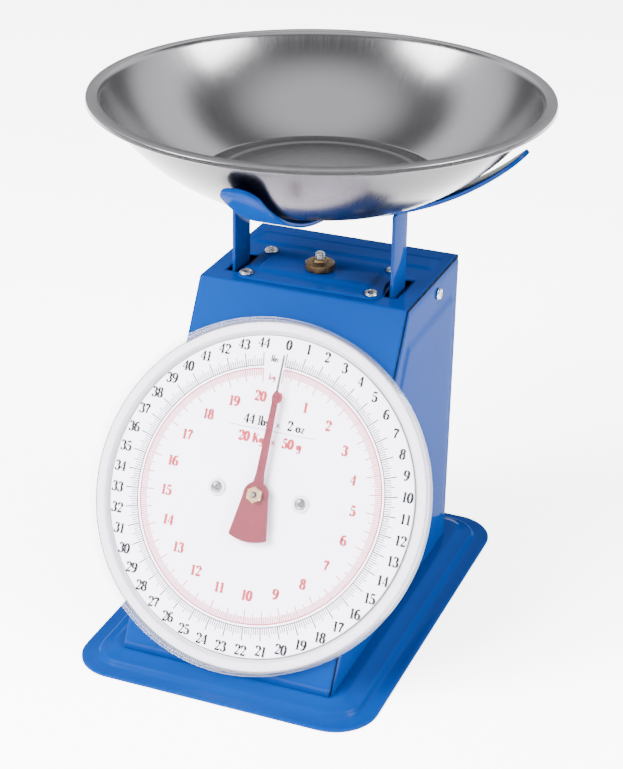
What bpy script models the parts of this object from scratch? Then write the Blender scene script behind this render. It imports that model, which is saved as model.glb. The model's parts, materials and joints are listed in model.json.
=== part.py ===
"""A bench-top dial spring scale: sloped sheet-metal case, dial and rack, twin springs, and a pan on two posts.

Units are metres, +Z is up and +Y is to the back. The origin is on the bench, under the middle of the base.
"""

from math import atan2, cos, pi, radians, sin, sqrt, tan

import bmesh
import bpy
from mathutils import Euler, Matrix, Vector

# ---- Driving sizes -------------------------------------------------------------------------------
GAP = 0.0003            # between faces that touch on the real object
RUN = 0.0003            # radial clearance of a hole round its pin, screw or shaft
SHEET = 0.0012          # case and base sheet

BASE_WIDTH = 0.183
BASE_DEPTH = 0.258
BASE_CORNER = 0.026
BASE_TOP = 0.0084       # height of the plateau that the case stands on
FLANGE = 0.0105         # width of the base's low flange
BASE_LAND = 0.003       # of it that lies flat on the bench

CASE_INSET_SIDE = 0.0273    # from the base's edge to the case's foot
CASE_INSET_FRONT = 0.020
CASE_INSET_BACK = 0.0327
CASE_TOP = 0.201
TOP_LIP = 0.0285            # from the slope's top edge to the zero stud
PANEL_INSET = 0.0012
PANEL_SHEET = 0.001
PANEL_FIELD = 0.0012        # how far the pressed field stands out
PANEL_MARGIN = 0.012        # round the pressed field
PANEL_FOOT_MARGIN = 0.017
PANEL_HEAD_MARGIN = 0.0235
SIDE_SCREW_SET = 0.0406     # in front of the case's back
SIDE_SCREW_DROP = 0.0105

LOAD_SET = 0.0658           # from the case's back to the zero stud, the springs and the pan
SLOT_SET = 0.0149           # from the wrap's side to the middle of each slot and post
SLOT_WIDTH = 0.0085
SLOT_LENGTH = 0.030
POST_WIDTH = 0.022
POST_SHEET = 0.002
POST_SET = -0.0025          # how far the posts stand in front of the slot's middle

COVER_CLEAR = 0.00105       # from the cover plate's end to the slot
COVER_Y = 0.0245            # half its depth
COVER_SHEET = 0.0015
COVER_CORNER = 0.0052
COVER_FIELD_INSET = 0.011
COVER_FIELD_Y = 0.0113
COVER_SCREW_INSET = 0.005
COVER_SCREW_Y = 0.0189

STUD_RADIUS = 0.0028
STUD_RISE = 0.0145          # above the case
NUT_RADIUS = 0.0087
NUT_HEIGHT = 0.0072
NUT_RIBS = 24

LENS_RADIUS = 0.1025
LENS_DEPTH = 0.0149
LENS_WALL = 0.0016
DIAL_PAN_RADIUS = LENS_RADIUS - 0.0021
DIAL_RIM_WIDTH = 0.0052
DIAL_RIM_HEIGHT = 0.0048
DIAL_RADIUS = DIAL_PAN_RADIUS - 0.0079
DIAL_SHEET = 0.0008
DIAL_SCREW_X = 0.026
SHAFT_RADIUS = 0.00125
POINTER_SHEET = 0.0008
POINTER_OUT = 0.0070        # from the case's face
POINTER_REACH = DIAL_RADIUS * 0.886
POINTER_SHOULDER = DIAL_RADIUS * 0.643

SCALE_TURN = radians(350)   # pointer turn for the full load
PINION_MODULE = 0.0006
PINION_TEETH = 10
PINION_LENGTH = 0.018
PINION_FRONT = -0.0118      # along the dial's axis, from the case's face
RACK_WIDTH = 0.005
RACK_DEPTH = 0.0045
RACK_SET = 0.0004           # from the pinion's front to the rack's, unloaded
BRACKET_X = 0.032
BRACKET_Y = 0.012
BRACKET_SHEET = 0.0016
BUSH_RADIUS = 0.004
RACK_ARM_CLEAR = 0.003      # below the bearing bracket

CARRIER_CLEAR = 0.007       # left between the carrier and the stud at full load
CARRIER_RADIUS = 0.173      # of the arc that the pan carrier's arms follow
CARRIER_REACH = 0.1215
CARRIER_WIDTH = 0.0225
CARRIER_SHEET = 0.0025
CARRIER_CORNER = 0.0075
RIVET_RADIUS = 0.003

PAN_RADIUS = 0.1327
PAN_HEIGHT = 0.0508
PAN_FLOOR_RADIUS = 0.070
PAN_RIM_WIDTH = 0.0078
PAN_RIM_DROP = 0.0022
PAN_SHEET = 0.001
PAN_WALL_START = radians(26)    # slope of the wall at the floor's edge, and at the rim
PAN_WALL_END = radians(60)

SPRING_X = 0.018
SPRING_RADIUS = 0.0070      # to the middle of the wire
SPRING_WIRE = 0.0022
SPRING_TURNS = 15
SPRING_TAIL = 0.0045        # bent over at each end
SPRING_END_ROOM = 0.018     # from the last turn to the bar that holds it

CHASSIS_SHEET = 0.002
CHASSIS_CLEAR = 0.0073      # from its side to the middle of the post
CHASSIS_SET = 0.0099        # from the case's back
CHASSIS_SHELF = 0.0215      # in front of the stud
CHASSIS_FOOT_DEPTH = 0.0424
HANGER_DROP = 0.025         # below the case's top
HANGER_SHEET = 0.004
CROSSBAR_SHEET = 0.0025

PIN_RADIUS = 0.002
LINK_SET = 0.0124           # from the chassis's back to the rear pins
LINK_SHEET = 0.002
LINK_HEIGHT = 0.010
LINK_CLEAR = 0.0053         # from each arm's middle to the middle of the post
UPPER_PIN_DROP = 0.026      # below the hanger
POST_FOOT_ROOM = 0.036      # left under the posts at full load

# ---- Worked out from them ------------------------------------------------------------------------
CASE_WIDTH = BASE_WIDTH - 2 * CASE_INSET_SIDE
CASE_FRONT = CASE_INSET_FRONT - BASE_DEPTH / 2
CASE_BACK = BASE_DEPTH / 2 - CASE_INSET_BACK
CASE_FOOT = BASE_TOP + GAP
LOAD_Y = CASE_BACK - LOAD_SET
SLOPE_TOP_Y = LOAD_Y - TOP_LIP
SLOPE = atan2(SLOPE_TOP_Y - CASE_FRONT, CASE_TOP - CASE_FOOT)    # of the dial face from upright
DIAL_HEIGHT = CASE_FOOT + LENS_RADIUS * cos(SLOPE)
DIAL_Y = CASE_FRONT + (DIAL_HEIGHT - CASE_FOOT) * tan(SLOPE)
DIAL_PLATE_FRONT = 2 * (GAP + DIAL_SHEET)
SIDE_SCREW_Y = CASE_BACK - SIDE_SCREW_SET

POST_Y = LOAD_Y + POST_SET
SLOT_X = CASE_WIDTH / 2 - SLOT_SET
COVER_X = SLOT_X - SLOT_WIDTH / 2 - COVER_CLEAR
COVER_SCREW_X = COVER_X - COVER_SCREW_INSET
COVER_FIELD_X = COVER_X - COVER_FIELD_INSET
COVER_Z = CASE_TOP + GAP
FIELD_Z = COVER_Z + 2 * COVER_SHEET
STUD_TOP = CASE_TOP + STUD_RISE

BRACKET_DEPTH = PINION_LENGTH - PINION_FRONT + 0.0035 + BRACKET_SHEET    # behind the case's face
PITCH_RADIUS = PINION_MODULE * PINION_TEETH / 2
TRAVEL = SCALE_TURN * PITCH_RADIUS / cos(SLOPE)
CARRIER_HEIGHT = STUD_TOP + TRAVEL + CARRIER_CLEAR      # underside of the left-right arm's middle
CARRIER_STEP = CARRIER_SHEET + GAP + (CARRIER_WIDTH / 2) ** 2 / (2 * CARRIER_RADIUS)

CHASSIS_X = SLOT_X - CHASSIS_CLEAR
CHASSIS_BACK = CASE_BACK - CHASSIS_SET
CHASSIS_TOP = CASE_TOP - SHEET - GAP
CHASSIS_SCREW_X = CHASSIS_X * 0.6
CHASSIS_SCREW_Y = CHASSIS_BACK - CHASSIS_FOOT_DEPTH / 2
HANGER_Z = CASE_TOP - HANGER_DROP
POST_FOOT = CASE_FOOT + POST_FOOT_ROOM + TRAVEL
LOWER_PIN_Z = POST_FOOT + 0.009
UPPER_PIN_Z = HANGER_Z - UPPER_PIN_DROP
CROSSBAR_Z = LOWER_PIN_Z + 0.013
SPRING_TOP = HANGER_Z - SPRING_END_ROOM
SPRING_BOTTOM = CROSSBAR_Z + CROSSBAR_SHEET + SPRING_END_ROOM
LINK_X = SLOT_X - LINK_CLEAR
LINK_REAR_Y = CHASSIS_BACK - LINK_SET
LINK_SPAN = LINK_REAR_Y - POST_Y
LINK_TILT = atan2(TRAVEL / 2, LINK_SPAN)

PARTS = None
CUTTERS = None


# ---- Scene and materials ---------------------------------------------------------------------------
def clear_scene():
    for obj in list(bpy.data.objects):
        bpy.data.objects.remove(obj, do_unlink=True)


def new_collection(name, hidden=False):
    collection = bpy.data.collections.new(name)
    bpy.context.scene.collection.children.link(collection)
    collection.hide_render = hidden
    return collection


def material(name, colour, roughness, metallic=0.0, alpha=1.0):
    """A Principled material, made once and shared by name."""
    found = bpy.data.materials.get(name)
    if found:
        return found
    made = bpy.data.materials.new(name)
    made.use_nodes = True
    shader = made.node_tree.nodes["Principled BSDF"]
    shader.inputs["Base Color"].default_value = (*colour, 1)
    shader.inputs["Roughness"].default_value = roughness
    shader.inputs["Metallic"].default_value = metallic
    shader.inputs["Alpha"].default_value = alpha
    made.diffuse_color = (*colour, alpha)
    return made


def blue_paint():
    return material("blue_paint", (0.03, 0.12, 0.42), 0.28)


def stainless():
    return material("stainless", (0.55, 0.55, 0.55), 0.3, 1.0)


def zinc():
    return material("zinc_steel", (0.52, 0.53, 0.55), 0.35, 1.0)


def brass():
    return material("brass", (0.55, 0.38, 0.16), 0.35, 1.0)


def spring_steel():
    return material("spring_steel", (0.2, 0.2, 0.21), 0.35, 1.0)


def white_enamel():
    return material("white_enamel", (0.85, 0.85, 0.86), 0.4)


def red_paint():
    return material("pointer_red", (0.5, 0.12, 0.14), 0.5)


def clear_plastic():
    return material("clear_plastic", (0.9, 0.92, 0.93), 0.05, 0.0, 0.2)


# ---- Shapes ----------------------------------------------------------------------------------------
def add(name, mesh, mat, collection=None):
    obj = bpy.data.objects.new(name, mesh)
    (collection or PARTS).objects.link(obj)
    if mat:
        mesh.materials.append(mat)
    return obj


def mesh_of(bm, name):
    mesh = bpy.data.meshes.new(name)
    bm.to_mesh(mesh)
    bm.free()
    return mesh


def box(name, low, high, mat, collection=None):
    """A box between two corners, with its origin at its middle."""
    low, high = Vector(low), Vector(high)
    bm = bmesh.new()
    bmesh.ops.create_cube(bm, size=1, matrix=Matrix.Diagonal((*(high - low), 1)))
    obj = add(name, mesh_of(bm, name), mat, collection)
    obj.location = (low + high) / 2
    return obj


def rod(name, radius, start, end, mat, sides=20, collection=None):
    """A round bar from start to end, with its origin at its middle and its own Z along it."""
    start, end = Vector(start), Vector(end)
    bm = bmesh.new()
    bmesh.ops.create_cone(
        bm, cap_ends=True, segments=sides, radius1=radius, radius2=radius, depth=(end - start).length
    )
    obj = add(name, mesh_of(bm, name), mat, collection)
    obj.location = (start + end) / 2
    obj.rotation_euler = (end - start).to_track_quat("Z", "Y").to_euler()
    return obj


def turned(name, profile, mat, steps=32, collection=None):
    """A closed profile of (radius, height) points turned round local Z."""
    bm = bmesh.new()
    points = [bm.verts.new((radius, 0, height)) for radius, height in profile]
    for a, b in zip(points, points[1:] + points[:1]):
        if profile[points.index(a)][0] > 0 or profile[points.index(b)][0] > 0:
            bm.edges.new((a, b))
    obj = add(name, mesh_of(bm, name), mat, collection)
    screw = obj.modifiers.new("turn", "SCREW")
    screw.steps = screw.render_steps = steps
    screw.use_merge_vertices = True
    screw.merge_threshold = 0.00001
    screw.use_smooth_shade = False
    return obj


def plate(name, outline, thickness, mat, turn=None, holes=(), collection=None):
    """A flat outline, with hole outlines, extruded by half its thickness to each side, as a mesh."""
    curve = bpy.data.curves.new(name, "CURVE")
    curve.dimensions = "2D"
    curve.fill_mode = "BOTH"
    curve.extrude = thickness / 2
    for points in (outline, *holes):
        spline = curve.splines.new("POLY")
        spline.points.add(len(points) - 1)
        for point, (x, y) in zip(spline.points, points):
            point.co = (x, y, 0, 1)
        spline.use_cyclic_u = True
    drawn = bpy.data.objects.new(name + "_outline", curve)
    PARTS.objects.link(drawn)
    bpy.context.view_layer.update()
    mesh = bpy.data.meshes.new_from_object(drawn.evaluated_get(bpy.context.evaluated_depsgraph_get()))
    bpy.data.objects.remove(drawn)
    bm = bmesh.new()
    bm.from_mesh(mesh)
    bmesh.ops.remove_doubles(bm, verts=bm.verts, dist=0.000001)
    bmesh.ops.recalc_face_normals(bm, faces=bm.faces)
    bm.to_mesh(mesh)
    bm.free()
    mesh.name = name
    obj = add(name, mesh, mat, collection)
    if turn:
        obj.rotation_euler = turn
    return obj


# A plate's local X and Y become the world's Y and Z, and its thickness lies along X.
FACING_X = Euler((pi / 2, 0, pi / 2))
# A plate's local X and Y become the world's X and Z, and its thickness lies along Y.
FACING_Y = Euler((pi / 2, 0, 0))


def cut(obj, *cutters):
    for cutter in cutters:
        modifier = obj.modifiers.new("cut_" + cutter.name[:40], "BOOLEAN")
        modifier.operation = "DIFFERENCE"
        modifier.solver = "EXACT"
        modifier.object = cutter


def join(obj, *others):
    for other in others:
        modifier = obj.modifiers.new("join_" + other.name[:40], "BOOLEAN")
        modifier.operation = "UNION"
        modifier.solver = "EXACT"
        modifier.object = other


def as_cutter(obj):
    """Moves an object to the cutters' collection, where no render or build reads it."""
    for collection in obj.users_collection:
        collection.objects.unlink(obj)
    CUTTERS.objects.link(obj)
    obj.hide_render = True
    obj.display_type = "WIRE"
    return obj


def drill(name, radius, start, end, sides=20):
    return as_cutter(rod(name, radius, start, end, None, sides))


def through_top(x, y):
    """A line that goes right through the case's top and the plates on both sides of it."""
    return (x, y, CASE_TOP - 0.01), (x, y, CASE_TOP + 0.01)


def through_foot(x):
    """A line that goes down through the chassis's foot and the base."""
    return (x, CHASSIS_SCREW_Y, 0), (x, CHASSIS_SCREW_Y, 0.02)


def through_dial(x):
    """A line that goes right through the dial and the case's face."""
    return on_dial(x, 0, -0.01), on_dial(x, 0, 0.01)


def block_cut(name, low, high):
    return as_cutter(box(name, low, high, None))


def soften(obj, width, segments=2):
    bevel = obj.modifiers.new("edges", "BEVEL")
    bevel.width = width
    bevel.segments = segments
    bevel.limit_method = "ANGLE"
    bevel.angle_limit = radians(40)


def rounded_rectangle(half_x, half_y, radius, steps=6):
    """Corner arcs of a rounded rectangle, anticlockwise from the right-hand side."""
    points = []
    for corner, (sx, sy) in enumerate(((1, 1), (-1, 1), (-1, -1), (1, -1))):
        centre = Vector((sx * (half_x - radius), sy * (half_y - radius)))
        for step in range(steps + 1):
            angle = pi / 2 * (corner + step / steps)
            points.append((centre.x + radius * cos(angle), centre.y + radius * sin(angle)))
    return points


def circle(radius, x=0.0, y=0.0, steps=24):
    return [(x + radius * cos(2 * pi * i / steps), y + radius * sin(2 * pi * i / steps)) for i in range(steps)]


# ---- The dial's frame --------------------------------------------------------------------------------
def dial_matrix():
    """Local X is right, local Y is up the slope, and local Z points out of the dial."""
    return Matrix.Translation((0, DIAL_Y, DIAL_HEIGHT)) @ Matrix.Rotation(pi / 2 - SLOPE, 4, "X")


def on_dial(x, up, out):
    return dial_matrix() @ Vector((x, up, out))


def to_dial(obj, x=0.0, up=0.0, out=0.0):
    obj.matrix_world = dial_matrix() @ Matrix.Translation((x, up, out)) @ obj.matrix_basis
    return obj


# ---- Fasteners ---------------------------------------------------------------------------------------
def screw(name, place, axis, head_radius, head_height, shank_radius, shank_length, mat):
    """A cross-head screw whose head sits on `place`, and whose shank runs against `axis`."""
    profile = [
        (0, head_height),
        (head_radius * 0.55, head_height * 0.94),
        (head_radius * 0.9, head_height * 0.6),
        (head_radius, head_height * 0.2),
        (head_radius, 0),
        (shank_radius, 0),
        (shank_radius, -shank_length),
        (0, -shank_length),
    ]
    obj = turned(name, profile, mat, 12)
    turn = Vector(axis).to_track_quat("Z", "Y")
    obj.location = place
    obj.rotation_euler = turn.to_euler()
    half, slit = head_radius * 0.62, head_radius * 0.13
    depth = head_height * 0.55
    for index, (hx, hy) in enumerate(((half, slit), (slit, half))):
        recess = box(f"{name}_recess_{index}", (-hx, -hy, depth), (hx, hy, head_height * 2), None)
        middle = recess.location.copy()
        recess.location = Vector(place) + turn @ middle
        recess.rotation_euler = obj.rotation_euler
        cut(obj, as_cutter(recess))
    return obj


# ---- Base --------------------------------------------------------------------------------------------
def make_base():
    """A pressed tray: a low flange all round, and a plateau that the case stands on."""
    top = [
        (0.0, BASE_CORNER, SHEET),
        (BASE_LAND, BASE_CORNER - BASE_LAND, SHEET),
        (FLANGE * 0.75, BASE_CORNER * 0.7, 0.0030),
        (FLANGE, BASE_CORNER * 0.6, 0.0042),
        (FLANGE * 1.7, BASE_CORNER * 0.5, BASE_TOP),
    ]
    under = [(inset, corner, height - SHEET) for inset, corner, height in reversed(top)]
    rings = [*under, *top]
    bm = bmesh.new()
    loops = []
    for inset, corner, height in rings:
        outline = rounded_rectangle(BASE_WIDTH / 2 - inset, BASE_DEPTH / 2 - inset, corner)
        loops.append([bm.verts.new((x, y, height)) for x, y in outline])
    for low, high in zip(loops, loops[1:]):
        for i, vert in enumerate(low):
            j = (i + 1) % len(low)
            bm.faces.new((vert, low[j], high[j], high[i]))
    bm.faces.new(list(reversed(loops[0])))
    bm.faces.new(loops[-1])
    bmesh.ops.recalc_face_normals(bm, faces=bm.faces)
    base = add("base_plate", mesh_of(bm, "base_plate"), blue_paint())
    for side, x in (("left", -CHASSIS_SCREW_X), ("right", CHASSIS_SCREW_X)):
        cut(base, drill(f"base_hole_{side}", 0.002 + RUN, *through_foot(x)))
    return base


# ---- Case --------------------------------------------------------------------------------------------
def case_outline(inset, foot):
    """The case's side view, as (y, z) points, offset inwards by `inset` except at its foot."""
    lean = inset / cos(SLOPE)
    top = CASE_TOP - inset
    front_foot = CASE_FRONT + (foot - CASE_FOOT) * tan(SLOPE) + lean
    front_top = SLOPE_TOP_Y - inset * tan(SLOPE) + lean
    return [(front_foot, foot), (front_top, top), (CASE_BACK - inset, top), (CASE_BACK - inset, foot)]


def make_case_wrap():
    """One folded sheet: the sloped front, the top and the back, with slots for the posts."""
    outer = case_outline(0, CASE_FOOT)
    inner = case_outline(SHEET, CASE_FOOT)
    wrap = plate("case_wrap", outer + inner[::-1], CASE_WIDTH, blue_paint(), FACING_X)
    for side, sign in (("left", -1), ("right", 1)):
        x = sign * SLOT_X
        low = (x - SLOT_WIDTH / 2, LOAD_Y - SLOT_LENGTH / 2, CASE_TOP - 0.01)
        high = (x + SLOT_WIDTH / 2, LOAD_Y + SLOT_LENGTH / 2, CASE_TOP + 0.01)
        cut(wrap, block_cut(f"slot_{side}", low, high))
    cut(wrap, drill("wrap_stud_hole", STUD_RADIUS + RUN, *through_top(0, LOAD_Y)))
    cut(wrap, drill("wrap_shaft_hole", 0.008, *through_dial(0), 32))
    for index, (x, y) in enumerate(cover_screw_places()):
        cut(wrap, drill(f"wrap_cover_hole_{index}", 0.0015 + RUN, *through_top(x, y)))
    for side, x in (("left", -DIAL_SCREW_X), ("right", DIAL_SCREW_X)):
        cut(wrap, drill(f"wrap_dial_hole_{side}", 0.0015 + RUN, *through_dial(x)))
    return wrap


def make_side_panel(side, sign):
    """A flat side with a pressed field, let in just under the wrap's edge line."""
    inner_x = CASE_WIDTH / 2 + GAP
    outline = case_outline(PANEL_INSET, CASE_FOOT)
    panel = plate(f"side_panel_{side}", outline, PANEL_SHEET, blue_paint(), FACING_X)
    panel.location.x = sign * (inner_x + PANEL_SHEET / 2)
    slope_in = PANEL_MARGIN / cos(SLOPE)
    low = CASE_FOOT + PANEL_FOOT_MARGIN
    high = CASE_TOP - PANEL_HEAD_MARGIN
    field_points = [
        (CASE_FRONT + PANEL_FOOT_MARGIN * tan(SLOPE) + slope_in, low),
        (CASE_FRONT + (high - CASE_FOOT) * tan(SLOPE) + slope_in, high),
        (CASE_BACK - PANEL_MARGIN, high),
        (CASE_BACK - PANEL_MARGIN, low),
    ]
    field = plate(f"field_{side}", field_points, PANEL_SHEET / 2 + PANEL_FIELD, None, FACING_X)
    field.location.x = sign * (inner_x + PANEL_SHEET + PANEL_FIELD / 2 - PANEL_SHEET / 4)
    join(panel, as_cutter(field))
    start = (sign * (inner_x - 0.005), SIDE_SCREW_Y, CASE_TOP - SIDE_SCREW_DROP)
    end = (sign * (inner_x + 0.01), SIDE_SCREW_Y, CASE_TOP - SIDE_SCREW_DROP)
    cut(panel, drill(f"side_hole_{side}", 0.0017 + RUN, start, end))
    place = (sign * (inner_x + PANEL_SHEET + GAP), start[1], start[2])
    return screw(f"side_screw_{side}", place, (sign, 0, 0), 0.0036, 0.0019, 0.0016, PANEL_SHEET, zinc())


def cover_screw_places():
    return [(sx * COVER_SCREW_X, LOAD_Y + sy * COVER_SCREW_Y) for sy in (-1, 1) for sx in (-1, 1)]


def make_cover_plate():
    """The plate round the zero stud, with a raised field and a screw in each ear."""
    outline = [(x, y + LOAD_Y) for x, y in rounded_rectangle(COVER_X, COVER_Y, COVER_CORNER)]
    cover = plate("cover_plate", outline, COVER_SHEET, blue_paint())
    cover.location.z = COVER_Z + COVER_SHEET / 2
    raised = [(x, y + LOAD_Y) for x, y in rounded_rectangle(COVER_FIELD_X, COVER_FIELD_Y, 0.004)]
    field = plate("cover_field", raised, COVER_SHEET * 1.5, None)
    field.location.z = FIELD_Z - COVER_SHEET * 0.75
    join(cover, as_cutter(field))
    for side, sign in (("left", -1), ("right", 1)):
        waist = box(
            f"cover_waist_{side}",
            (-0.006, -COVER_FIELD_Y, COVER_Z - 0.01),
            (0.006, COVER_FIELD_Y, COVER_Z + 0.01),
            None,
        )
        waist.location = (sign * (COVER_X + 0.0035), LOAD_Y, COVER_Z)
        cut(cover, as_cutter(waist))
    cut(cover, drill("cover_stud_hole", STUD_RADIUS + RUN, *through_top(0, LOAD_Y)))
    for index, (x, y) in enumerate(cover_screw_places()):
        cut(cover, drill(f"cover_hole_{index}", 0.0015 + RUN, *through_top(x, y)))
        place = (x, y, COVER_Z + COVER_SHEET + GAP)
        screw(f"cover_screw_{index + 1}", place, (0, 0, 1), 0.0041, 0.0021, 0.0015, 0.007, zinc())


# ---- Chassis and zero adjustment -----------------------------------------------------------------------
def make_chassis():
    """A C-shaped frame from the base to under the case's top, with ears for the links' rear pins."""
    inner = CHASSIS_BACK - CHASSIS_SHEET
    foot = BASE_TOP + GAP
    front = CHASSIS_BACK - CHASSIS_FOOT_DEPTH
    outline = [
        (front, foot),
        (CHASSIS_BACK, foot),
        (CHASSIS_BACK, CHASSIS_TOP),
        (LOAD_Y - CHASSIS_SHELF, CHASSIS_TOP),
        (LOAD_Y - CHASSIS_SHELF, CHASSIS_TOP - CHASSIS_SHEET),
        (inner, CHASSIS_TOP - CHASSIS_SHEET),
        (inner, foot + CHASSIS_SHEET),
        (front, foot + CHASSIS_SHEET),
    ]
    chassis = plate("chassis", outline, CHASSIS_X * 2, zinc(), FACING_X)
    for level, front_z in (("upper", UPPER_PIN_Z), ("lower", LOWER_PIN_Z)):
        z = front_z - TRAVEL / 2
        for side, sign in (("left", -1), ("right", 1)):
            x = sign * (LINK_X - 0.005)
            ear = box(f"ear_{level}_{side}", (0, 0, 0), (0.002, CHASSIS_BACK - LINK_REAR_Y + 0.0045, 0.012), None)
            ear.location = (x, (CHASSIS_BACK - 0.001 + LINK_REAR_Y - 0.0055) / 2, z)
            join(chassis, as_cutter(ear))
        start, end = (-LINK_X, LINK_REAR_Y, z), (LINK_X, LINK_REAR_Y, z)
        holes = drill(f"ear_holes_{level}", PIN_RADIUS + RUN, start, end)
        cut(chassis, holes)
    cut(chassis, drill("chassis_stud_hole", STUD_RADIUS + RUN, *through_top(0, LOAD_Y)))
    for index, (x, y) in enumerate(cover_screw_places()):
        cut(chassis, drill(f"chassis_cover_hole_{index}", 0.0015 + RUN, *through_top(x, y)))
    for side, x in (("left", -CHASSIS_SCREW_X), ("right", CHASSIS_SCREW_X)):
        cut(chassis, drill(f"chassis_hole_{side}", 0.002 + RUN, *through_foot(x)))
        place = (x, CHASSIS_SCREW_Y, foot + CHASSIS_SHEET + GAP)
        screw(f"chassis_screw_{side}", place, (0, 0, 1), 0.004, 0.0024, 0.002, 0.0055, zinc())


def make_zero_adjuster():
    """The threaded stud with its head under the hanger bar, and the knurled nut that lifts it."""
    head_top = HANGER_Z - GAP
    profile = [
        (0, STUD_TOP),
        (STUD_RADIUS * 0.7, STUD_TOP),
        (STUD_RADIUS, STUD_TOP - 0.0008),
        (STUD_RADIUS, head_top),
        (STUD_RADIUS * 1.8, head_top),
        (STUD_RADIUS * 1.8, head_top - 0.003),
        (0, head_top - 0.003),
    ]
    stud = turned("zero_stud", [(r, z - HANGER_Z) for r, z in profile], zinc(), 24)
    stud.location = (0, LOAD_Y, HANGER_Z)
    hanger = plate("spring_hanger", rounded_rectangle(SPRING_X + 0.009, 0.0055, 0.003), HANGER_SHEET, zinc())
    hanger.location = (0, LOAD_Y, HANGER_Z + HANGER_SHEET / 2)
    cut(hanger, drill("hanger_stud_hole", STUD_RADIUS + RUN, (0, LOAD_Y, HANGER_Z - 0.01), (0, LOAD_Y, HANGER_Z + 0.01)))
    for side, x in (("left", -SPRING_X), ("right", SPRING_X)):
        radius = SPRING_WIRE / 2 + RUN
        cut(hanger, drill(f"hanger_hook_hole_{side}", radius, (x, LOAD_Y, HANGER_Z - 0.01), (x, LOAD_Y, HANGER_Z + 0.01), 12))
    make_zero_nut()


def make_zero_nut():
    """A knurled disc with a stepped top: every other point of its rim stands proud."""
    bm = bmesh.new()
    bore = STUD_RADIUS + RUN
    rows = [
        (bore, 0.0),
        (NUT_RADIUS * 0.86, 0.0),
        (NUT_RADIUS, 0.0008),
        (NUT_RADIUS, NUT_HEIGHT * 0.62),
        (NUT_RADIUS * 0.8, NUT_HEIGHT * 0.74),
        (NUT_RADIUS * 0.62, NUT_HEIGHT),
        (bore, NUT_HEIGHT),
    ]
    loops = []
    for radius, height in rows:
        loop = []
        for i in range(NUT_RIBS * 2):
            angle = pi * i / NUT_RIBS
            dip = 0.00035 if radius == NUT_RADIUS and i % 2 else 0.0
            loop.append(bm.verts.new(((radius - dip) * cos(angle), (radius - dip) * sin(angle), height)))
        loops.append(loop)
    for low, high in zip(loops, loops[1:] + loops[:1]):
        for i, vert in enumerate(low):
            j = (i + 1) % len(low)
            bm.faces.new((vert, low[j], high[j], high[i]))
    bmesh.ops.recalc_face_normals(bm, faces=bm.faces)
    nut = add("zero_nut", mesh_of(bm, "zero_nut"), brass())
    nut.location = (0, LOAD_Y, FIELD_Z + GAP)


# ---- Springs -----------------------------------------------------------------------------------------
def make_spring(side, x, sign):
    """An extension spring on a POLY spline, with a straight tail and a bent end at top and bottom."""
    steps = 10
    points = []
    wire = SPRING_WIRE / 2
    top_bend = HANGER_Z + HANGER_SHEET + GAP + wire
    low_bend = CROSSBAR_Z - GAP - wire
    points.append((sign * SPRING_TAIL, 0, top_bend))
    points.append((0, 0, top_bend))
    points.append((0, 0, SPRING_TOP + 0.006))
    points.append((SPRING_RADIUS * 0.6, 0, SPRING_TOP + 0.0025))
    for step in range(SPRING_TURNS * steps + 1):
        angle = 2 * pi * step / steps
        height = SPRING_TOP + (SPRING_BOTTOM - SPRING_TOP) * step / (SPRING_TURNS * steps)
        points.append((SPRING_RADIUS * cos(angle), SPRING_RADIUS * sin(angle), height))
    points.append((SPRING_RADIUS * 0.6, 0, SPRING_BOTTOM - 0.0025))
    points.append((0, 0, SPRING_BOTTOM - 0.006))
    points.append((0, 0, low_bend))
    points.append((sign * SPRING_TAIL, 0, low_bend))
    curve = bpy.data.curves.new(f"spring_{side}", "CURVE")
    curve.dimensions = "3D"
    curve.bevel_depth = wire
    curve.bevel_resolution = 2
    curve.use_fill_caps = True
    spline = curve.splines.new("POLY")
    spline.points.add(len(points) - 1)
    for point, place in zip(spline.points, points):
        point.co = (*place, 1)
    spring = bpy.data.objects.new(f"spring_{side}", curve)
    PARTS.objects.link(spring)
    curve.materials.append(spring_steel())
    spring.location = (x, LOAD_Y, 0)


# ---- Load carriage -----------------------------------------------------------------------------------
def carrier_height(reach):
    """Underside of a carrier arm at a distance from the middle."""
    return CARRIER_HEIGHT + CARRIER_RADIUS - sqrt(CARRIER_RADIUS**2 - reach**2)


def make_posts():
    """Flat bars that carry the pan's arms, and that the crossbar and the links hold."""
    top = carrier_height(SLOT_X - POST_SHEET / 2) - GAP
    for side, sign in (("left", -1), ("right", 1)):
        x = sign * SLOT_X
        low = (x - POST_SHEET / 2, POST_Y - POST_WIDTH / 2, POST_FOOT)
        high = (x + POST_SHEET / 2, POST_Y + POST_WIDTH / 2, top)
        post = box(f"post_{side}", low, high, blue_paint())
        for level, z in (("upper", UPPER_PIN_Z), ("lower", LOWER_PIN_Z)):
            hole = drill(f"post_hole_{level}_{side}", PIN_RADIUS + RUN, (x - 0.01, POST_Y, z), (x + 0.01, POST_Y, z))
            cut(post, hole)
            start = (sign * (LINK_X - 0.0025), POST_Y, z)
            end = (sign * (SLOT_X + 0.0025), POST_Y, z)
            rod(f"{level}_front_pin_{side}", PIN_RADIUS, start, end, zinc())


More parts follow.
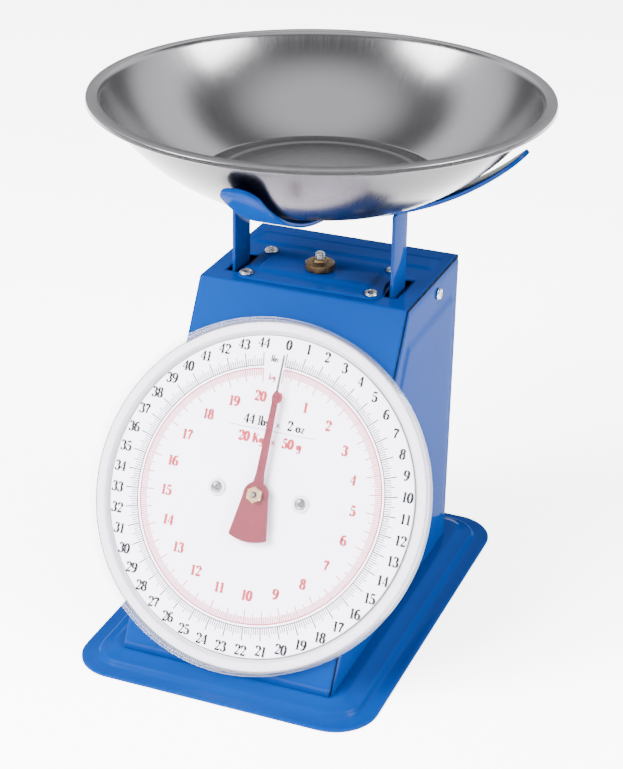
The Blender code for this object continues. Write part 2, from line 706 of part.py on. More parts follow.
def arm_outline(raise_middle):
    """Side view of an arm that curves up at both ends. Its middle steps over the other arm if asked."""
    half_step = CARRIER_WIDTH / 2 + 0.002
    steps = 26
    below, above = [], []
    for i in range(steps + 1):
        reach = -CARRIER_REACH + 2 * CARRIER_REACH * i / steps
        low = carrier_height(abs(reach))
        angle = reach / CARRIER_RADIUS
        below.append((reach, low))
        above.append((reach - CARRIER_SHEET * sin(angle), low + CARRIER_SHEET * cos(angle)))
    if not raise_middle:
        return below + above[::-1]
    rise = 0.004

    def stepped(points):
        left = [p for p in points if p[0] < -half_step - rise]
        right = [p for p in points if p[0] > half_step + rise]
        base = min(z for _, z in points)
        foot = base + (half_step + rise) ** 2 / (2 * CARRIER_RADIUS)
        middle = [
            (-half_step - rise, foot),
            (-half_step, base + CARRIER_STEP),
            (half_step, base + CARRIER_STEP),
            (half_step + rise, foot),
        ]
        return left + middle + right

    return stepped(below) + stepped(above)[::-1]


def make_arm(name, facing, raise_middle):
    """One strip of the pan carrier, with its four corners rounded."""
    arm = plate(name, arm_outline(raise_middle), CARRIER_WIDTH, blue_paint())
    bm = bmesh.new()
    bm.from_mesh(arm.data)
    short = [
        edge
        for edge in bm.edges
        if all(abs(v.co.x) > CARRIER_REACH - 0.003 for v in edge.verts)
        and edge.verts[0].co.z * edge.verts[1].co.z > 0
        and len(edge.link_faces) == 2
        and abs(edge.calc_face_angle(0)) > 1
        and edge.calc_length() < CARRIER_SHEET * 1.5
    ]
    bmesh.ops.bevel(bm, geom=short, offset=CARRIER_CORNER, segments=4, affect="EDGES", profile=0.5)
    bm.to_mesh(arm.data)
    bm.free()
    arm.rotation_euler = facing
    arm.location = (0, POST_Y, 0)
    cut(arm, drill(f"{name}_rivet_hole", RIVET_RADIUS + RUN, (0, POST_Y, CARRIER_HEIGHT - 0.01), (0, POST_Y, CARRIER_HEIGHT + 0.02)))
    return arm


def make_carrier():
    make_arm("carrier_arm_cross", FACING_Y, False)
    make_arm("carrier_arm_front_back", FACING_X, True)
    low = CARRIER_HEIGHT - GAP
    high = CARRIER_HEIGHT + CARRIER_STEP + CARRIER_SHEET + GAP
    profile = [
        (0, high + 0.0016),
        (0.0035, high + 0.0012),
        (0.0052, high),
        (RIVET_RADIUS, high),
        (RIVET_RADIUS, low),
        (0.0048, low),
        (0.0048, low - 0.0012),
        (0, low - 0.0012),
    ]
    rivet = turned("carrier_rivet", [(r, z - low) for r, z in profile], zinc(), 20)
    rivet.location = (0, POST_Y, low)


def make_load_crossbar():
    """The bar between the posts that the springs pull up on."""
    half_x = SLOT_X - POST_SHEET / 2 - GAP
    outline = [(x, y + POST_Y) for x, y in rounded_rectangle(half_x, POST_WIDTH / 2, 0.002, 3)]
    bar = plate("load_crossbar", outline, CROSSBAR_SHEET, zinc())
    bar.location.z = CROSSBAR_Z + CROSSBAR_SHEET / 2
    for side, x in (("left", -SPRING_X), ("right", SPRING_X)):
        radius = SPRING_WIRE / 2 + RUN
        cut(bar, drill(f"crossbar_hook_hole_{side}", radius, (x, LOAD_Y, CROSSBAR_Z - 0.01), (x, LOAD_Y, CROSSBAR_Z + 0.01), 12))


# ---- Links -------------------------------------------------------------------------------------------
def make_link(level, front_z):
    """A yoke from a rear pin to the two posts. Its front holes are slots, as its end swings on an arc."""
    arm_end = sqrt(LINK_SPAN**2 + (TRAVEL / 2) ** 2) + 0.006
    outer, inner = LINK_X + LINK_SHEET / 2, LINK_X - LINK_SHEET / 2
    web = 0.012
    outline = [
        (-outer, 0.005),
        (-inner, 0.005),
        (-inner, -web),
        (inner, -web),
        (inner, 0.005),
        (outer, 0.005),
        (outer, -arm_end),
        (inner, -arm_end),
        (inner, -web - LINK_SHEET),
        (-inner, -web - LINK_SHEET),
        (-inner, -arm_end),
        (-outer, -arm_end),
    ]
    link = plate(f"{level}_link", outline, LINK_HEIGHT, zinc())
    rear = Vector((0, LINK_REAR_Y, front_z - TRAVEL / 2))
    link.location = rear
    link.rotation_euler = (-LINK_TILT, 0, 0)
    near, far = LINK_SPAN, sqrt(LINK_SPAN**2 + (TRAVEL / 2) ** 2)
    radius = PIN_RADIUS + RUN
    reach = LINK_X + 0.01
    slot_low = Vector((-reach, -far - radius, -radius))
    slot_high = Vector((reach, -near + radius, radius))
    slot = box(f"{level}_link_slot", slot_low, slot_high, None)
    slot.location = rear + Matrix.Rotation(-LINK_TILT, 3, "X") @ ((slot_low + slot_high) / 2)
    slot.rotation_euler = link.rotation_euler
    cut(link, as_cutter(slot))
    cut(link, drill(f"{level}_link_hole", radius, rear - Vector((reach, 0, 0)), rear + Vector((reach, 0, 0))))
    half = Vector((LINK_X + 0.0025, 0, 0))
    rod(f"{level}_rear_pin", PIN_RADIUS, rear - half, rear + half, zinc())


# ---- Rack, pinion and shaft ----------------------------------------------------------------------------
def make_rack():
    """A toothed bar up the slope, to the right of the pinion, with its teeth facing left."""
    pitch = pi * PINION_MODULE
    low = -pitch * 3.5
    top_tooth = int(TRAVEL * cos(SLOPE) / pitch) + 3
    high = (top_tooth + 1) * pitch
    tip = PITCH_RADIUS - PINION_MODULE * 0.8
    root = PITCH_RADIUS + PINION_MODULE * 1.1
    back = root + RACK_DEPTH
    points = [(back, low), (back, high), (root, high)]
    for tooth in range(top_tooth, -4, -1):
        middle = (tooth + 0.5) * pitch
        points += [
            (root, middle + 0.36 * pitch),
            (tip, middle + 0.07 * pitch),
            (tip, middle - 0.07 * pitch),
            (root, middle - 0.36 * pitch),
        ]
    points.append((root, low))
    rack = plate("rack", points, RACK_WIDTH, zinc())
    to_dial(rack, 0, 0, PINION_FRONT - RACK_SET - RACK_WIDTH / 2)
    return root, back, low


def make_rack_arm(root, back, low):
    """A flat bracket that carries the rack from under the load crossbar."""
    front = PINION_FRONT - RACK_SET
    rear = front - RACK_WIDTH
    top_z = DIAL_HEIGHT - BRACKET_Y * cos(SLOPE) - BRACKET_DEPTH * sin(SLOPE) - RACK_ARM_CLEAR
    low_z = top_z - 0.008
    head = low - GAP

    def slope_point(out, z):
        up = (z - DIAL_HEIGHT - out * sin(SLOPE)) / cos(SLOPE)
        return (on_dial(0, up, out).y, z)

    first, second = on_dial(0, head, front), on_dial(0, head, rear)
    lug = CROSSBAR_Z - GAP
    outline = [
        (first.y, first.z),
        (second.y, second.z),
        slope_point(rear, top_z),
        (POST_Y - 0.009, top_z),
        (POST_Y - 0.009, lug),
        (POST_Y + 0.003, lug),
        (POST_Y + 0.003, low_z),
        slope_point(front, low_z),
    ]
    arm = plate("rack_arm", outline, RACK_DEPTH - 0.001, zinc(), FACING_X)
    arm.location.x = (root + back) / 2


def make_pinion():
    """A ten-tooth pinion, a loose sleeve on the pointer's shaft."""
    points = []
    outer = PITCH_RADIUS + PINION_MODULE * 0.8
    root = PITCH_RADIUS - PINION_MODULE * 1.2
    for tooth in range(PINION_TEETH):
        for part, radius in ((-0.28, root), (-0.09, outer), (0.09, outer), (0.28, root)):
            angle = 2 * pi * (tooth + part) / PINION_TEETH
            points.append((radius * cos(angle), radius * sin(angle)))
    bore = circle(SHAFT_RADIUS + RUN, steps=16)
    pinion = plate("pinion", points, PINION_LENGTH, brass(), None, (bore,))
    to_dial(pinion, 0, 0, PINION_FRONT - PINION_LENGTH / 2)


def make_bearing_bracket():
    """A U-shaped bracket behind the case's face that holds the shaft's two bushes."""
    front = -SHEET - GAP
    sheet = BRACKET_SHEET
    rear = BRACKET_SHEET - BRACKET_DEPTH
    x = BRACKET_X
    outline = [
        (-x, front),
        (-x, rear - sheet),
        (x, rear - sheet),
        (x, front),
        (x - sheet, front),
        (x - sheet, rear),
        (sheet - x, rear),
        (sheet - x, front - sheet),
        (x - sheet - GAP, front - sheet),
        (x - sheet - GAP, front),
    ]
    bracket = plate("bearing_bracket", outline, BRACKET_Y * 2, zinc(), FACING_Y)
    to_dial(bracket)
    for name, out in (("front", front), ("rear", rear)):
        hole = drill(f"bush_hole_{name}", BUSH_RADIUS + RUN, on_dial(0, 0, out + 0.005), on_dial(0, 0, out - 0.006))
        cut(bracket, hole)
        bush = [
            (SHAFT_RADIUS + RUN, 0.0012),
            (BUSH_RADIUS + 0.0015, 0.0012),
            (BUSH_RADIUS + 0.0015, GAP * 0.5),
            (BUSH_RADIUS, GAP * 0.5),
            (BUSH_RADIUS, -sheet),
            (SHAFT_RADIUS + RUN, -sheet),
        ]
        obj = turned(f"{name}_bush", bush, brass(), 20)
        if name == "front":
            obj.rotation_euler = (pi, 0, 0)
            to_dial(obj, 0, 0, front - sheet - GAP)
        else:
            to_dial(obj, 0, 0, rear + GAP)
    for side, sx in (("left", -DIAL_SCREW_X), ("right", DIAL_SCREW_X)):
        cut(bracket, drill(f"bracket_hole_{side}", 0.0015 + RUN, *through_dial(sx)))
    shaft_back = rear - sheet - 0.003
    rod("pointer_shaft", SHAFT_RADIUS, on_dial(0, 0, shaft_back), on_dial(0, 0, 0.0122), zinc(), 16)


# ---- Dial ----------------------------------------------------------------------------------------------
def make_dial():
    """The white pan, the printed plate on it, the pointer and the clear lens cap."""
    rim = DIAL_PAN_RADIUS - DIAL_RIM_WIDTH
    floor = GAP + DIAL_SHEET
    pan = [
        (0.0065, GAP),
        (0.0065, floor),
        (rim, floor),
        (rim + 0.0012, DIAL_RIM_HEIGHT),
        (DIAL_PAN_RADIUS - 0.0004, DIAL_RIM_HEIGHT),
        (DIAL_PAN_RADIUS, DIAL_RIM_HEIGHT - 0.0008),
        (DIAL_PAN_RADIUS, GAP),
    ]
    dial_pan = to_dial(turned("dial_pan", pan[::-1], white_enamel(), 60))
    centre_hole = circle(0.006)
    screw_holes = [circle(0.0015 + RUN, x, 0, 16) for x in (-DIAL_SCREW_X, DIAL_SCREW_X)]
    face = plate("dial_plate", circle(DIAL_RADIUS, steps=60), DIAL_SHEET, white_enamel(), None,
                 (centre_hole, *screw_holes))
    to_dial(face, 0, 0, DIAL_PLATE_FRONT - DIAL_SHEET / 2)
    for side, x in (("left", -DIAL_SCREW_X), ("right", DIAL_SCREW_X)):
        cut(dial_pan, drill(f"pan_hole_{side}", 0.0015 + RUN, *through_dial(x)))
        place = on_dial(x, 0, DIAL_PLATE_FRONT + GAP)
        out = on_dial(0, 0, 1) - on_dial(0, 0, 0)
        screw(f"dial_screw_{side}", place, out, 0.0042, 0.0018, 0.0015, 0.0062, white_enamel())
    lens = [
        (0, LENS_DEPTH),
        (LENS_RADIUS - 0.006, LENS_DEPTH),
        (LENS_RADIUS - 0.0018, LENS_DEPTH - 0.0018),
        (LENS_RADIUS, LENS_DEPTH - 0.006),
        (LENS_RADIUS, GAP),
        (LENS_RADIUS - LENS_WALL, GAP),
        (LENS_RADIUS - LENS_WALL, LENS_DEPTH - 0.006),
        (LENS_RADIUS - LENS_WALL - 0.0015, LENS_DEPTH - LENS_WALL - 0.0016),
        (LENS_RADIUS - LENS_WALL - 0.005, LENS_DEPTH - LENS_WALL),
        (0, LENS_DEPTH - LENS_WALL),
    ]
    to_dial(turned("lens_cap", lens, clear_plastic(), 60))
    make_pointer()


def make_pointer():
    """A tapering needle with a round hub and a fan-shaped tail, and its brass nut."""
    shoulder = POINTER_SHOULDER
    needle = [(-0.0007, POINTER_REACH), (0.0007, POINTER_REACH), (0.0009, shoulder)]
    hub_radius = 0.0082
    hub_right = [(hub_radius * cos(radians(a)), hub_radius * sin(radians(a))) for a in (60, 35, 10, -15)]
    hub_left = [(-x, y) for x, y in reversed(hub_right)]
    tail_radius, tail_angle = 0.0262, radians(29)
    tail = [
        (tail_radius * sin(tail_angle * t), -tail_radius * cos(tail_angle * t)) for t in (1, 0.6, 0.2, -0.2, -0.6, -1)
    ]
    outline = [
        *needle,
        (0.0030, shoulder - 0.0015),
        (0.0040, shoulder - 0.0040),
        (0.0046, 0.0105),
        *hub_right,
        *tail,
        *hub_left,
        (-0.0046, 0.0105),
        (-0.0040, shoulder - 0.0040),
        (-0.0030, shoulder - 0.0015),
        (-0.0009, shoulder),
    ]
    pointer = plate("pointer", outline, POINTER_SHEET, red_paint(), None, (circle(SHAFT_RADIUS + RUN, steps=16),))
    to_dial(pointer, 0, 0, POINTER_OUT)
    nut = plate("pointer_nut", circle(0.0050, steps=6), 0.0032, brass(), None, (circle(SHAFT_RADIUS + RUN, steps=16),))
    to_dial(nut, 0, 0, POINTER_OUT + POINTER_SHEET / 2 + GAP + 0.0016)


# ---- Pan -----------------------------------------------------------------------------------------------
def make_pan():
    """A stainless pan with a flat floor, a curved wall and a flat rim, turned from one sheet."""
    floor = pan_floor_height()
    wall_radius = PAN_RADIUS - PAN_RIM_WIDTH
    rim_top = floor + PAN_HEIGHT
    outer = []
    for i in range(7):
        angle = PAN_WALL_START + (PAN_WALL_END - PAN_WALL_START) * i / 6
        across = (sin(angle) - sin(PAN_WALL_START)) / (sin(PAN_WALL_END) - sin(PAN_WALL_START))
        up = (cos(PAN_WALL_START) - cos(angle)) / (cos(PAN_WALL_START) - cos(PAN_WALL_END))
        outer.append((PAN_FLOOR_RADIUS + across * (wall_radius - PAN_FLOOR_RADIUS), floor + up * (PAN_HEIGHT - 0.0012)))
    inner = [(r - PAN_SHEET * 0.75, z + PAN_SHEET * 0.75) for r, z in outer]
    profile = [
        (0, floor + PAN_SHEET),
        (PAN_FLOOR_RADIUS - 0.0008, floor + PAN_SHEET),
        *inner[1:],
        (wall_radius - PAN_SHEET * 0.6, rim_top),
        (PAN_RADIUS, rim_top),
        (PAN_RADIUS, rim_top - PAN_RIM_DROP),
        (PAN_RADIUS - 0.001, rim_top - PAN_RIM_DROP),
        (PAN_RADIUS - 0.001, rim_top - PAN_SHEET),
        (wall_radius + PAN_SHEET * 0.4, rim_top - PAN_SHEET),
        *outer[-2::-1],
        (0, floor),
    ]
    pan = turned("pan", [(r, z - floor) for r, z in profile], stainless(), 60)
    pan.location = (0, POST_Y, floor)


def pan_floor_height():
    """Where the floor's edge meets the arms' upper faces."""
    return carrier_height(PAN_FLOOR_RADIUS + 0.0025) + CARRIER_SHEET / cos(PAN_FLOOR_RADIUS / CARRIER_RADIUS) + GAP


# ---- All of it -----------------------------------------------------------------------------------------
def main():
    global PARTS, CUTTERS
    clear_scene()
    PARTS = new_collection("dial_spring_scale")
    CUTTERS = new_collection("cutters", hidden=True)
    make_base()
    make_case_wrap()
    for side, sign in (("left", -1), ("right", 1)):
        make_side_panel(side, sign)
    make_cover_plate()
    make_chassis()
    make_zero_adjuster()
    make_spring("left", -SPRING_X, -1)
    make_spring("right", SPRING_X, 1)
    make_posts()
    make_carrier()
    make_load_crossbar()
    make_link("upper", UPPER_PIN_Z)
    make_link("lower", LOWER_PIN_Z)
    make_rack_arm(*make_rack())
    make_pinion()
    make_bearing_bracket()
    make_dial()
    make_pan()


main()
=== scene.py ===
"""Finished look of a bench-top dial spring scale: enamelled case, printed dial under a clear cap, and a spun pan."""

import json
from math import atan2, cos, pi, radians, sin, tan

import bmesh
import bpy
import numpy as np
from mathutils import Matrix, Vector


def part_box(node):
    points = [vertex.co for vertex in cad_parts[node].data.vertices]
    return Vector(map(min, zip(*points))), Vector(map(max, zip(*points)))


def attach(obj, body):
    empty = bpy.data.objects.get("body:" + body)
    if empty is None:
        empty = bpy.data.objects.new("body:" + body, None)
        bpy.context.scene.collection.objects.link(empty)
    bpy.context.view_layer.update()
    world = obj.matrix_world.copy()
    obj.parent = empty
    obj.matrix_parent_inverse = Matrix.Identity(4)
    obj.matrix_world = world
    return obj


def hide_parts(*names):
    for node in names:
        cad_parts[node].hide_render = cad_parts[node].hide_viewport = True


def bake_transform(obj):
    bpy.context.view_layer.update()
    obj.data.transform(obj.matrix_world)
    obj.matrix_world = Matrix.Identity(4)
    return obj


bl_info = {
    "name": "Dial spring scale",
    "version": (1, 0, 0),
    "blender": (4, 5, 0),
    "location": "View3D > Sidebar > Scale",
    "description": "Builds the enamel, dial, pan and fittings of a bench-top dial scale",
    "category": "Add Mesh",
}

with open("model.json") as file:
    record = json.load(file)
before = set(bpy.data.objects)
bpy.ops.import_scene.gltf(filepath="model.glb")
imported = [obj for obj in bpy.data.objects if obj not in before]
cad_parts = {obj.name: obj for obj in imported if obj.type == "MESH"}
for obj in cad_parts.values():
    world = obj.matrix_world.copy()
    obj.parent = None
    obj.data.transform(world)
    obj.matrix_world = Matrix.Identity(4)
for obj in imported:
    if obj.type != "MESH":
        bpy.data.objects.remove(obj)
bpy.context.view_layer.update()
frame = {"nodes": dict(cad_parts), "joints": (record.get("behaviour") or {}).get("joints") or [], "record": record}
JOINTS = {joint["name"]: joint for joint in frame["joints"]}


# ---- Places taken from the solid model ---------------------------------------------------------------
def middle(node):
    """The middle of a node's box."""
    low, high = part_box(node)
    return (low + high) / 2


CASE_LOW, CASE_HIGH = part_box("case_wrap")
BASE_LOW, BASE_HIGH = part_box("base_plate")
COVER_LOW, COVER_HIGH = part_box("cover_plate")
LENS_AXIS = -Vector(JOINTS["pointer_turn"]["axis"]).normalized()
DIAL_CENTRE = Vector(JOINTS["pointer_turn"]["pos_m"])
LEAN = atan2(LENS_AXIS.z, -LENS_AXIS.y)
STUD = middle("zero_stud")
CARRIER = middle("carrier_rivet")
PAN_LOW, PAN_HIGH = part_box("pan")
PAN_MIDDLE = (PAN_LOW + PAN_HIGH) / 2
SLOT_HALF_X, SLOT_HALF_Y = 0.00425, 0.015
PANEL_SHRINK = 0.0019    # how far each side lies inside the folded sheet's outline


# ---- Sizes and colours that a user would change ------------------------------------------------------
def length(name, description, default):
    """A size that the panel shows, in metres."""
    return bpy.props.FloatProperty(name=name, description=description, default=default, unit="LENGTH")


def colour(name, description, default):
    """A colour that the panel shows."""
    return bpy.props.FloatVectorProperty(name=name, description=description, subtype="COLOR", default=default)


class ScaleSizes(bpy.types.PropertyGroup):
    sheet: length("Case sheet", "Thickness of the case's folded sheet", 0.0012)
    bend: length("Bend radius", "Outer radius of the case's folds", 0.0019)
    emboss: length("Side emboss", "Height of the pressed field on each side", 0.0012)
    top_rib: length("Top rib", "Height of the pressed rib across the top", 0.0011)
    pan_sheet: length("Pan sheet", "Thickness of the pan", 0.0009)
    numeral: length("Numeral height", "Height of the dial's numerals", 0.0060)
    ink: length("Ink height", "How far the print stands off the dial", 0.00005)


class ScaleColours(bpy.types.PropertyGroup):
    enamel: colour("Enamel", "Colour of the case", (0.0006, 0.018, 0.105))
    dial: colour("Dial", "Colour of the dial", (0.72, 0.68, 0.78))
    pounds: colour("Outer print", "Ink of the outer scale", (0.010, 0.010, 0.012))
    kilograms: colour("Inner print", "Ink of the inner scale", (0.30, 0.018, 0.034))
    pointer: colour("Pointer", "Colour of the pointer", (0.095, 0.010, 0.018))
    brass: colour("Brass", "Colour of the zero nut", (0.19, 0.125, 0.06))


def sizes():
    """The sizes as the panel has them now."""
    return bpy.context.scene.scale_sizes


def colours():
    """The colours as the panel has them now."""
    return bpy.context.scene.scale_colours


# ---- Surfaces on grids ---------------------------------------------------------------------------------
def grid_faces(rows, columns, wrap_rows=False, wrap_columns=True):
    """Quads between neighbouring rows and columns of a grid of points, numbered row by row."""
    down = np.arange(rows if wrap_rows else rows - 1)
    across = np.arange(columns if wrap_columns else columns - 1)
    a, b = np.meshgrid(down, across, indexing="ij")
    below, beside = (a + 1) % rows, (b + 1) % columns
    corners = [a * columns + b, a * columns + beside, below * columns + beside, below * columns + b]
    return np.stack(corners, axis=-1).reshape(-1, 4)


def band(points, wrap_rows=False, wrap_columns=True, skip=None):
    """(points, faces) of a grid of points, an array of rows x columns x 3. skip marks the quads to leave out."""
    rows, columns = points.shape[:2]
    faces = grid_faces(rows, columns, wrap_rows, wrap_columns)
    if skip is not None:
        faces = faces[~skip.reshape(-1)]
    return points.reshape(-1, 3), faces.tolist()


def capped(points):
    """(points, faces) of a tube whose first and last rows are closed by one face each."""
    rows, columns = points.shape[:2]
    faces = grid_faces(rows, columns).tolist()
    faces.append(list(range(columns))[::-1])
    faces.append([(rows - 1) * columns + i for i in range(columns)])
    return points.reshape(-1, 3), faces


def placed(shape, matrix):
    """A shape moved by a 4 x 4 matrix: each point p becomes R p + t."""
    points, faces = shape
    m = np.array(matrix)
    return points @ m[:3, :3].T + m[:3, 3], faces


def piece(name, shapes, finish, body, replaces=(), angle=32.0, closed=True):
    """One object at the origin from a list of (points, faces), merged, turned outwards and smooth-shaded."""
    points = np.concatenate([shape[0] for shape in shapes])
    faces, start = [], 0
    for shape in shapes:
        faces += [[i + start for i in face] for face in shape[1]]
        start += len(shape[0])
    mesh = bpy.data.meshes.new(name)
    mesh.from_pydata(points.tolist(), [], faces)
    bm = bmesh.new()
    bm.from_mesh(mesh)
    bmesh.ops.remove_doubles(bm, verts=bm.verts, dist=1e-6)
    bmesh.ops.dissolve_degenerate(bm, dist=1e-7, edges=bm.edges)
    if closed:
        bmesh.ops.recalc_face_normals(bm, faces=bm.faces)
    bm.to_mesh(mesh)
    bm.free()
    mesh.shade_smooth()
    mesh.set_sharp_from_angle(angle=radians(angle))
    mesh.materials.append(finish)
    obj = bpy.data.objects.new(name, mesh)
    bpy.context.scene.collection.objects.link(obj)
    if body:
        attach(obj, body)
        if replaces:
            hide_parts(*replaces)
    return obj


def filleted(corners, radii, steps=6):
    """A polyline with each inner corner rounded by an arc of its own radius, tangent to both sides."""
    corners = np.asarray(corners, float)
    out = [corners[:1]]
    for before, corner, after, radius in zip(corners, corners[1:], corners[2:], radii):
        u, v = before - corner, after - corner
        u, v = u / np.linalg.norm(u), v / np.linalg.norm(v)
        half = np.arccos(np.clip(u @ v, -1, 1)) / 2
        centre = corner + (u + v) / np.linalg.norm(u + v) * radius / sin(half)
        start = corner + u * radius / tan(half) - centre
        end = corner + v * radius / tan(half) - centre
        sweep = pi - 2 * half
        t = np.linspace(0, 1, steps + 1)[:, None]
        arc = (np.sin((1 - t) * sweep) * start + np.sin(t * sweep) * end) / sin(sweep)
        out.append(centre + arc)
    out.append(corners[-1:])
    return np.concatenate(out)


def turned(profile, steps=96):
    """A profile of (radius, height) rows carried round Z: (r cos a, r sin a, z)."""
    profile = np.asarray(profile, float)
    angle = np.linspace(0, 2 * pi, steps, endpoint=False)
    radius, height = profile[:, 0:1], profile[:, 1:2]
    return np.stack([radius * np.cos(angle), radius * np.sin(angle), height + 0 * angle], axis=-1)


def rounded_outline(half_x, half_y, radius, steps=8, straight=1):
    """A rounded rectangle as one ring: four quarter circles, with points along the straights between them."""
    arc = np.linspace(0, pi / 2, steps + 1)
    rings = []
    for turn, (sx, sy) in enumerate(((1, 1), (-1, 1), (-1, -1), (1, -1))):
        a = arc + turn * pi / 2
        x = sx * (half_x - radius) + radius * np.cos(a)
        y = sy * (half_y - radius) + radius * np.sin(a)
        rings.append(np.stack([x, y], axis=-1))
    out = []
    for ring, following in zip(rings, rings[1:] + rings[:1]):
        t = np.linspace(0, 1, straight + 1)[1:-1, None]
        out += [ring, ring[-1] * (1 - t) + following[0] * t]
    return np.concatenate(out)


def stacked(outlines, heights):
    """Rings of outlines, each at its own height."""
    rings = [np.column_stack([outline, np.full(len(outline), height)]) for outline, height in zip(outlines, heights)]
    return np.stack(rings)


def slab(outline, low, high, edge=0.0):
    """A flat solid from an outline, with its two edges chamfered by pulling the end rings towards the middle."""
    outline = np.asarray(outline, float)
    if not edge:
        return capped(stacked([outline, outline], [low, high]))
    inner = inset(outline, edge)
    return capped(stacked([inner, outline, outline, inner], [low, low + edge, high - edge, high]))


def inset(outline, distance):
    """An anticlockwise outline moved inwards, each point along the mean of its two edges' normals."""
    ahead = np.roll(outline, -1, axis=0) - outline
    ahead = ahead / np.maximum(np.linalg.norm(ahead, axis=1, keepdims=True), 1e-9)
    behind = np.roll(ahead, 1, axis=0)
    normal = np.column_stack([-(ahead + behind)[:, 1], (ahead + behind)[:, 0]])
    scale = np.maximum(np.sum(normal * normal, axis=1, keepdims=True) / 2, 0.3)
    return outline + normal / scale * distance


def smoothstep(low, high, value):
    """0 below low, 1 above high, and the cubic 3t^2 - 2t^3 between."""
    t = np.clip((value - low) / (high - low), 0, 1)
    return t * t * (3 - 2 * t)


def dial_frame(x=0.0, up=0.0, out=0.0):
    """Local X is right, Y is up the dial and Z comes out of it."""
    up_axis = LENS_AXIS.cross(Vector((1, 0, 0)))
    turn = Matrix((Vector((1, 0, 0)), up_axis, LENS_AXIS)).transposed().to_4x4()
    return Matrix.Translation(DIAL_CENTRE) @ turn @ Matrix.Translation((x, up, out))


# ---- Finishes ------------------------------------------------------------------------------------------
class Finish:
    """A Principled material under construction, with a few short calls that add and link nodes."""

    def __init__(self, name, colour, roughness, metallic=0.0):
        self.material = bpy.data.materials.new(name)
        self.material.use_nodes = True
        self.tree = self.material.node_tree
        self.shader = self.tree.nodes["Principled BSDF"]
        self.set("Base Color", (*colour, 1.0))
        self.set("Roughness", roughness)
        self.set("Metallic", metallic)
        self.material.diffuse_color = (*colour, 1.0)
        self.place = self.add("ShaderNodeTexCoord").outputs["Object"]

    def set(self, socket, value):
        self.shader.inputs[socket].default_value = value

    def add(self, kind, links=(), **values):
        node = self.tree.nodes.new(kind)
        for key, value in values.items():
            if hasattr(node, key):
                setattr(node, key, value)
            else:
                node.inputs[key.replace("_", " ")].default_value = value
        for socket, source in dict(links).items():
            self.tree.links.new(source, node.inputs[socket])
        return node

    def link(self, source, socket):
        self.tree.links.new(source, self.shader.inputs[socket])

    def noise(self, scale, detail=3.0, place=None, stretch=None):
        place = place or self.place
        if stretch:
            place = self.add("ShaderNodeMapping", {"Vector": place}, Scale=stretch).outputs["Vector"]
        return self.add("ShaderNodeTexNoise", {"Vector": place}, Scale=scale, Detail=detail).outputs["Fac"]

    def spread(self, source, low, high, start=0.35, end=0.65):
        """A noise value between start and end as a value between low and high."""
        node = self.add("ShaderNodeMapRange", {"Value": source})
        for index, value in ((1, start), (2, end), (3, low), (4, high)):
            node.inputs[index].default_value = value
        return node.outputs["Result"]

    def calculate(self, operation, first, second):
        """A sum on two values. The second is a number or another node's output."""
        node = self.add("ShaderNodeMath", {0: first}, operation=operation)
        if isinstance(second, float):
            node.inputs[1].default_value = second
        else:
            self.tree.links.new(second, node.inputs[1])
        return node.outputs[0]

    def tint(self, source, dark, light, start=0.3, end=0.7):
        """A colour ramp from dark to light."""
        node = self.add("ShaderNodeValToRGB", {"Fac": source})
        node.color_ramp.elements[0].position = start
        node.color_ramp.elements[1].position = end
        node.color_ramp.elements[0].color = (*dark, 1)
        node.color_ramp.elements[1].color = (*light, 1)
        self.link(node.outputs["Color"], "Base Color")

    def bump(self, source, strength, distance, under=None):
        links = {"Height": source}
        if under:
            links["Normal"] = under
        node = self.add("ShaderNodeBump", links, Strength=strength, Distance=distance)
        self.link(node.outputs["Normal"], "Normal")
        return node.outputs["Normal"]

    def distance_from(self, x, y):
        """Distance from an upright line at x, y, for marks that run round it."""
        moved = self.add("ShaderNodeVectorMath", {0: self.place}, operation="SUBTRACT")
        moved.inputs[1].default_value = (x, y, 0)
        flat = self.add("ShaderNodeVectorMath", {0: moved.outputs[0]}, operation="MULTIPLY")
        flat.inputs[1].default_value = (1, 1, 0)
        return self.add("ShaderNodeVectorMath", {0: flat.outputs[0]}, operation="LENGTH").outputs["Value"]


def shade(colour, factor):
    """A colour made darker or lighter, with each channel kept at 1 or less."""
    return tuple(min(1.0, channel * factor) for channel in colour)


def enamel():
    """Gloss stoving enamel: faint orange peel, a slight drift of colour, and a thin clear coat."""
    colour = tuple(colours().enamel)
    made = Finish("blue_enamel", colour, 0.3)
    made.set("Coat Weight", 0.10)
    made.set("Coat Roughness", 0.08)
    made.set("Specular IOR Level", 0.0)
    made.tint(made.noise(14, 3), shade(colour, 0.96), shade(colour, 1.05))
    made.link(made.spread(made.noise(45, 2), 0.27, 0.33), "Roughness")
    made.bump(made.noise(700, 1), 0.05, 0.0001)
    return made.material


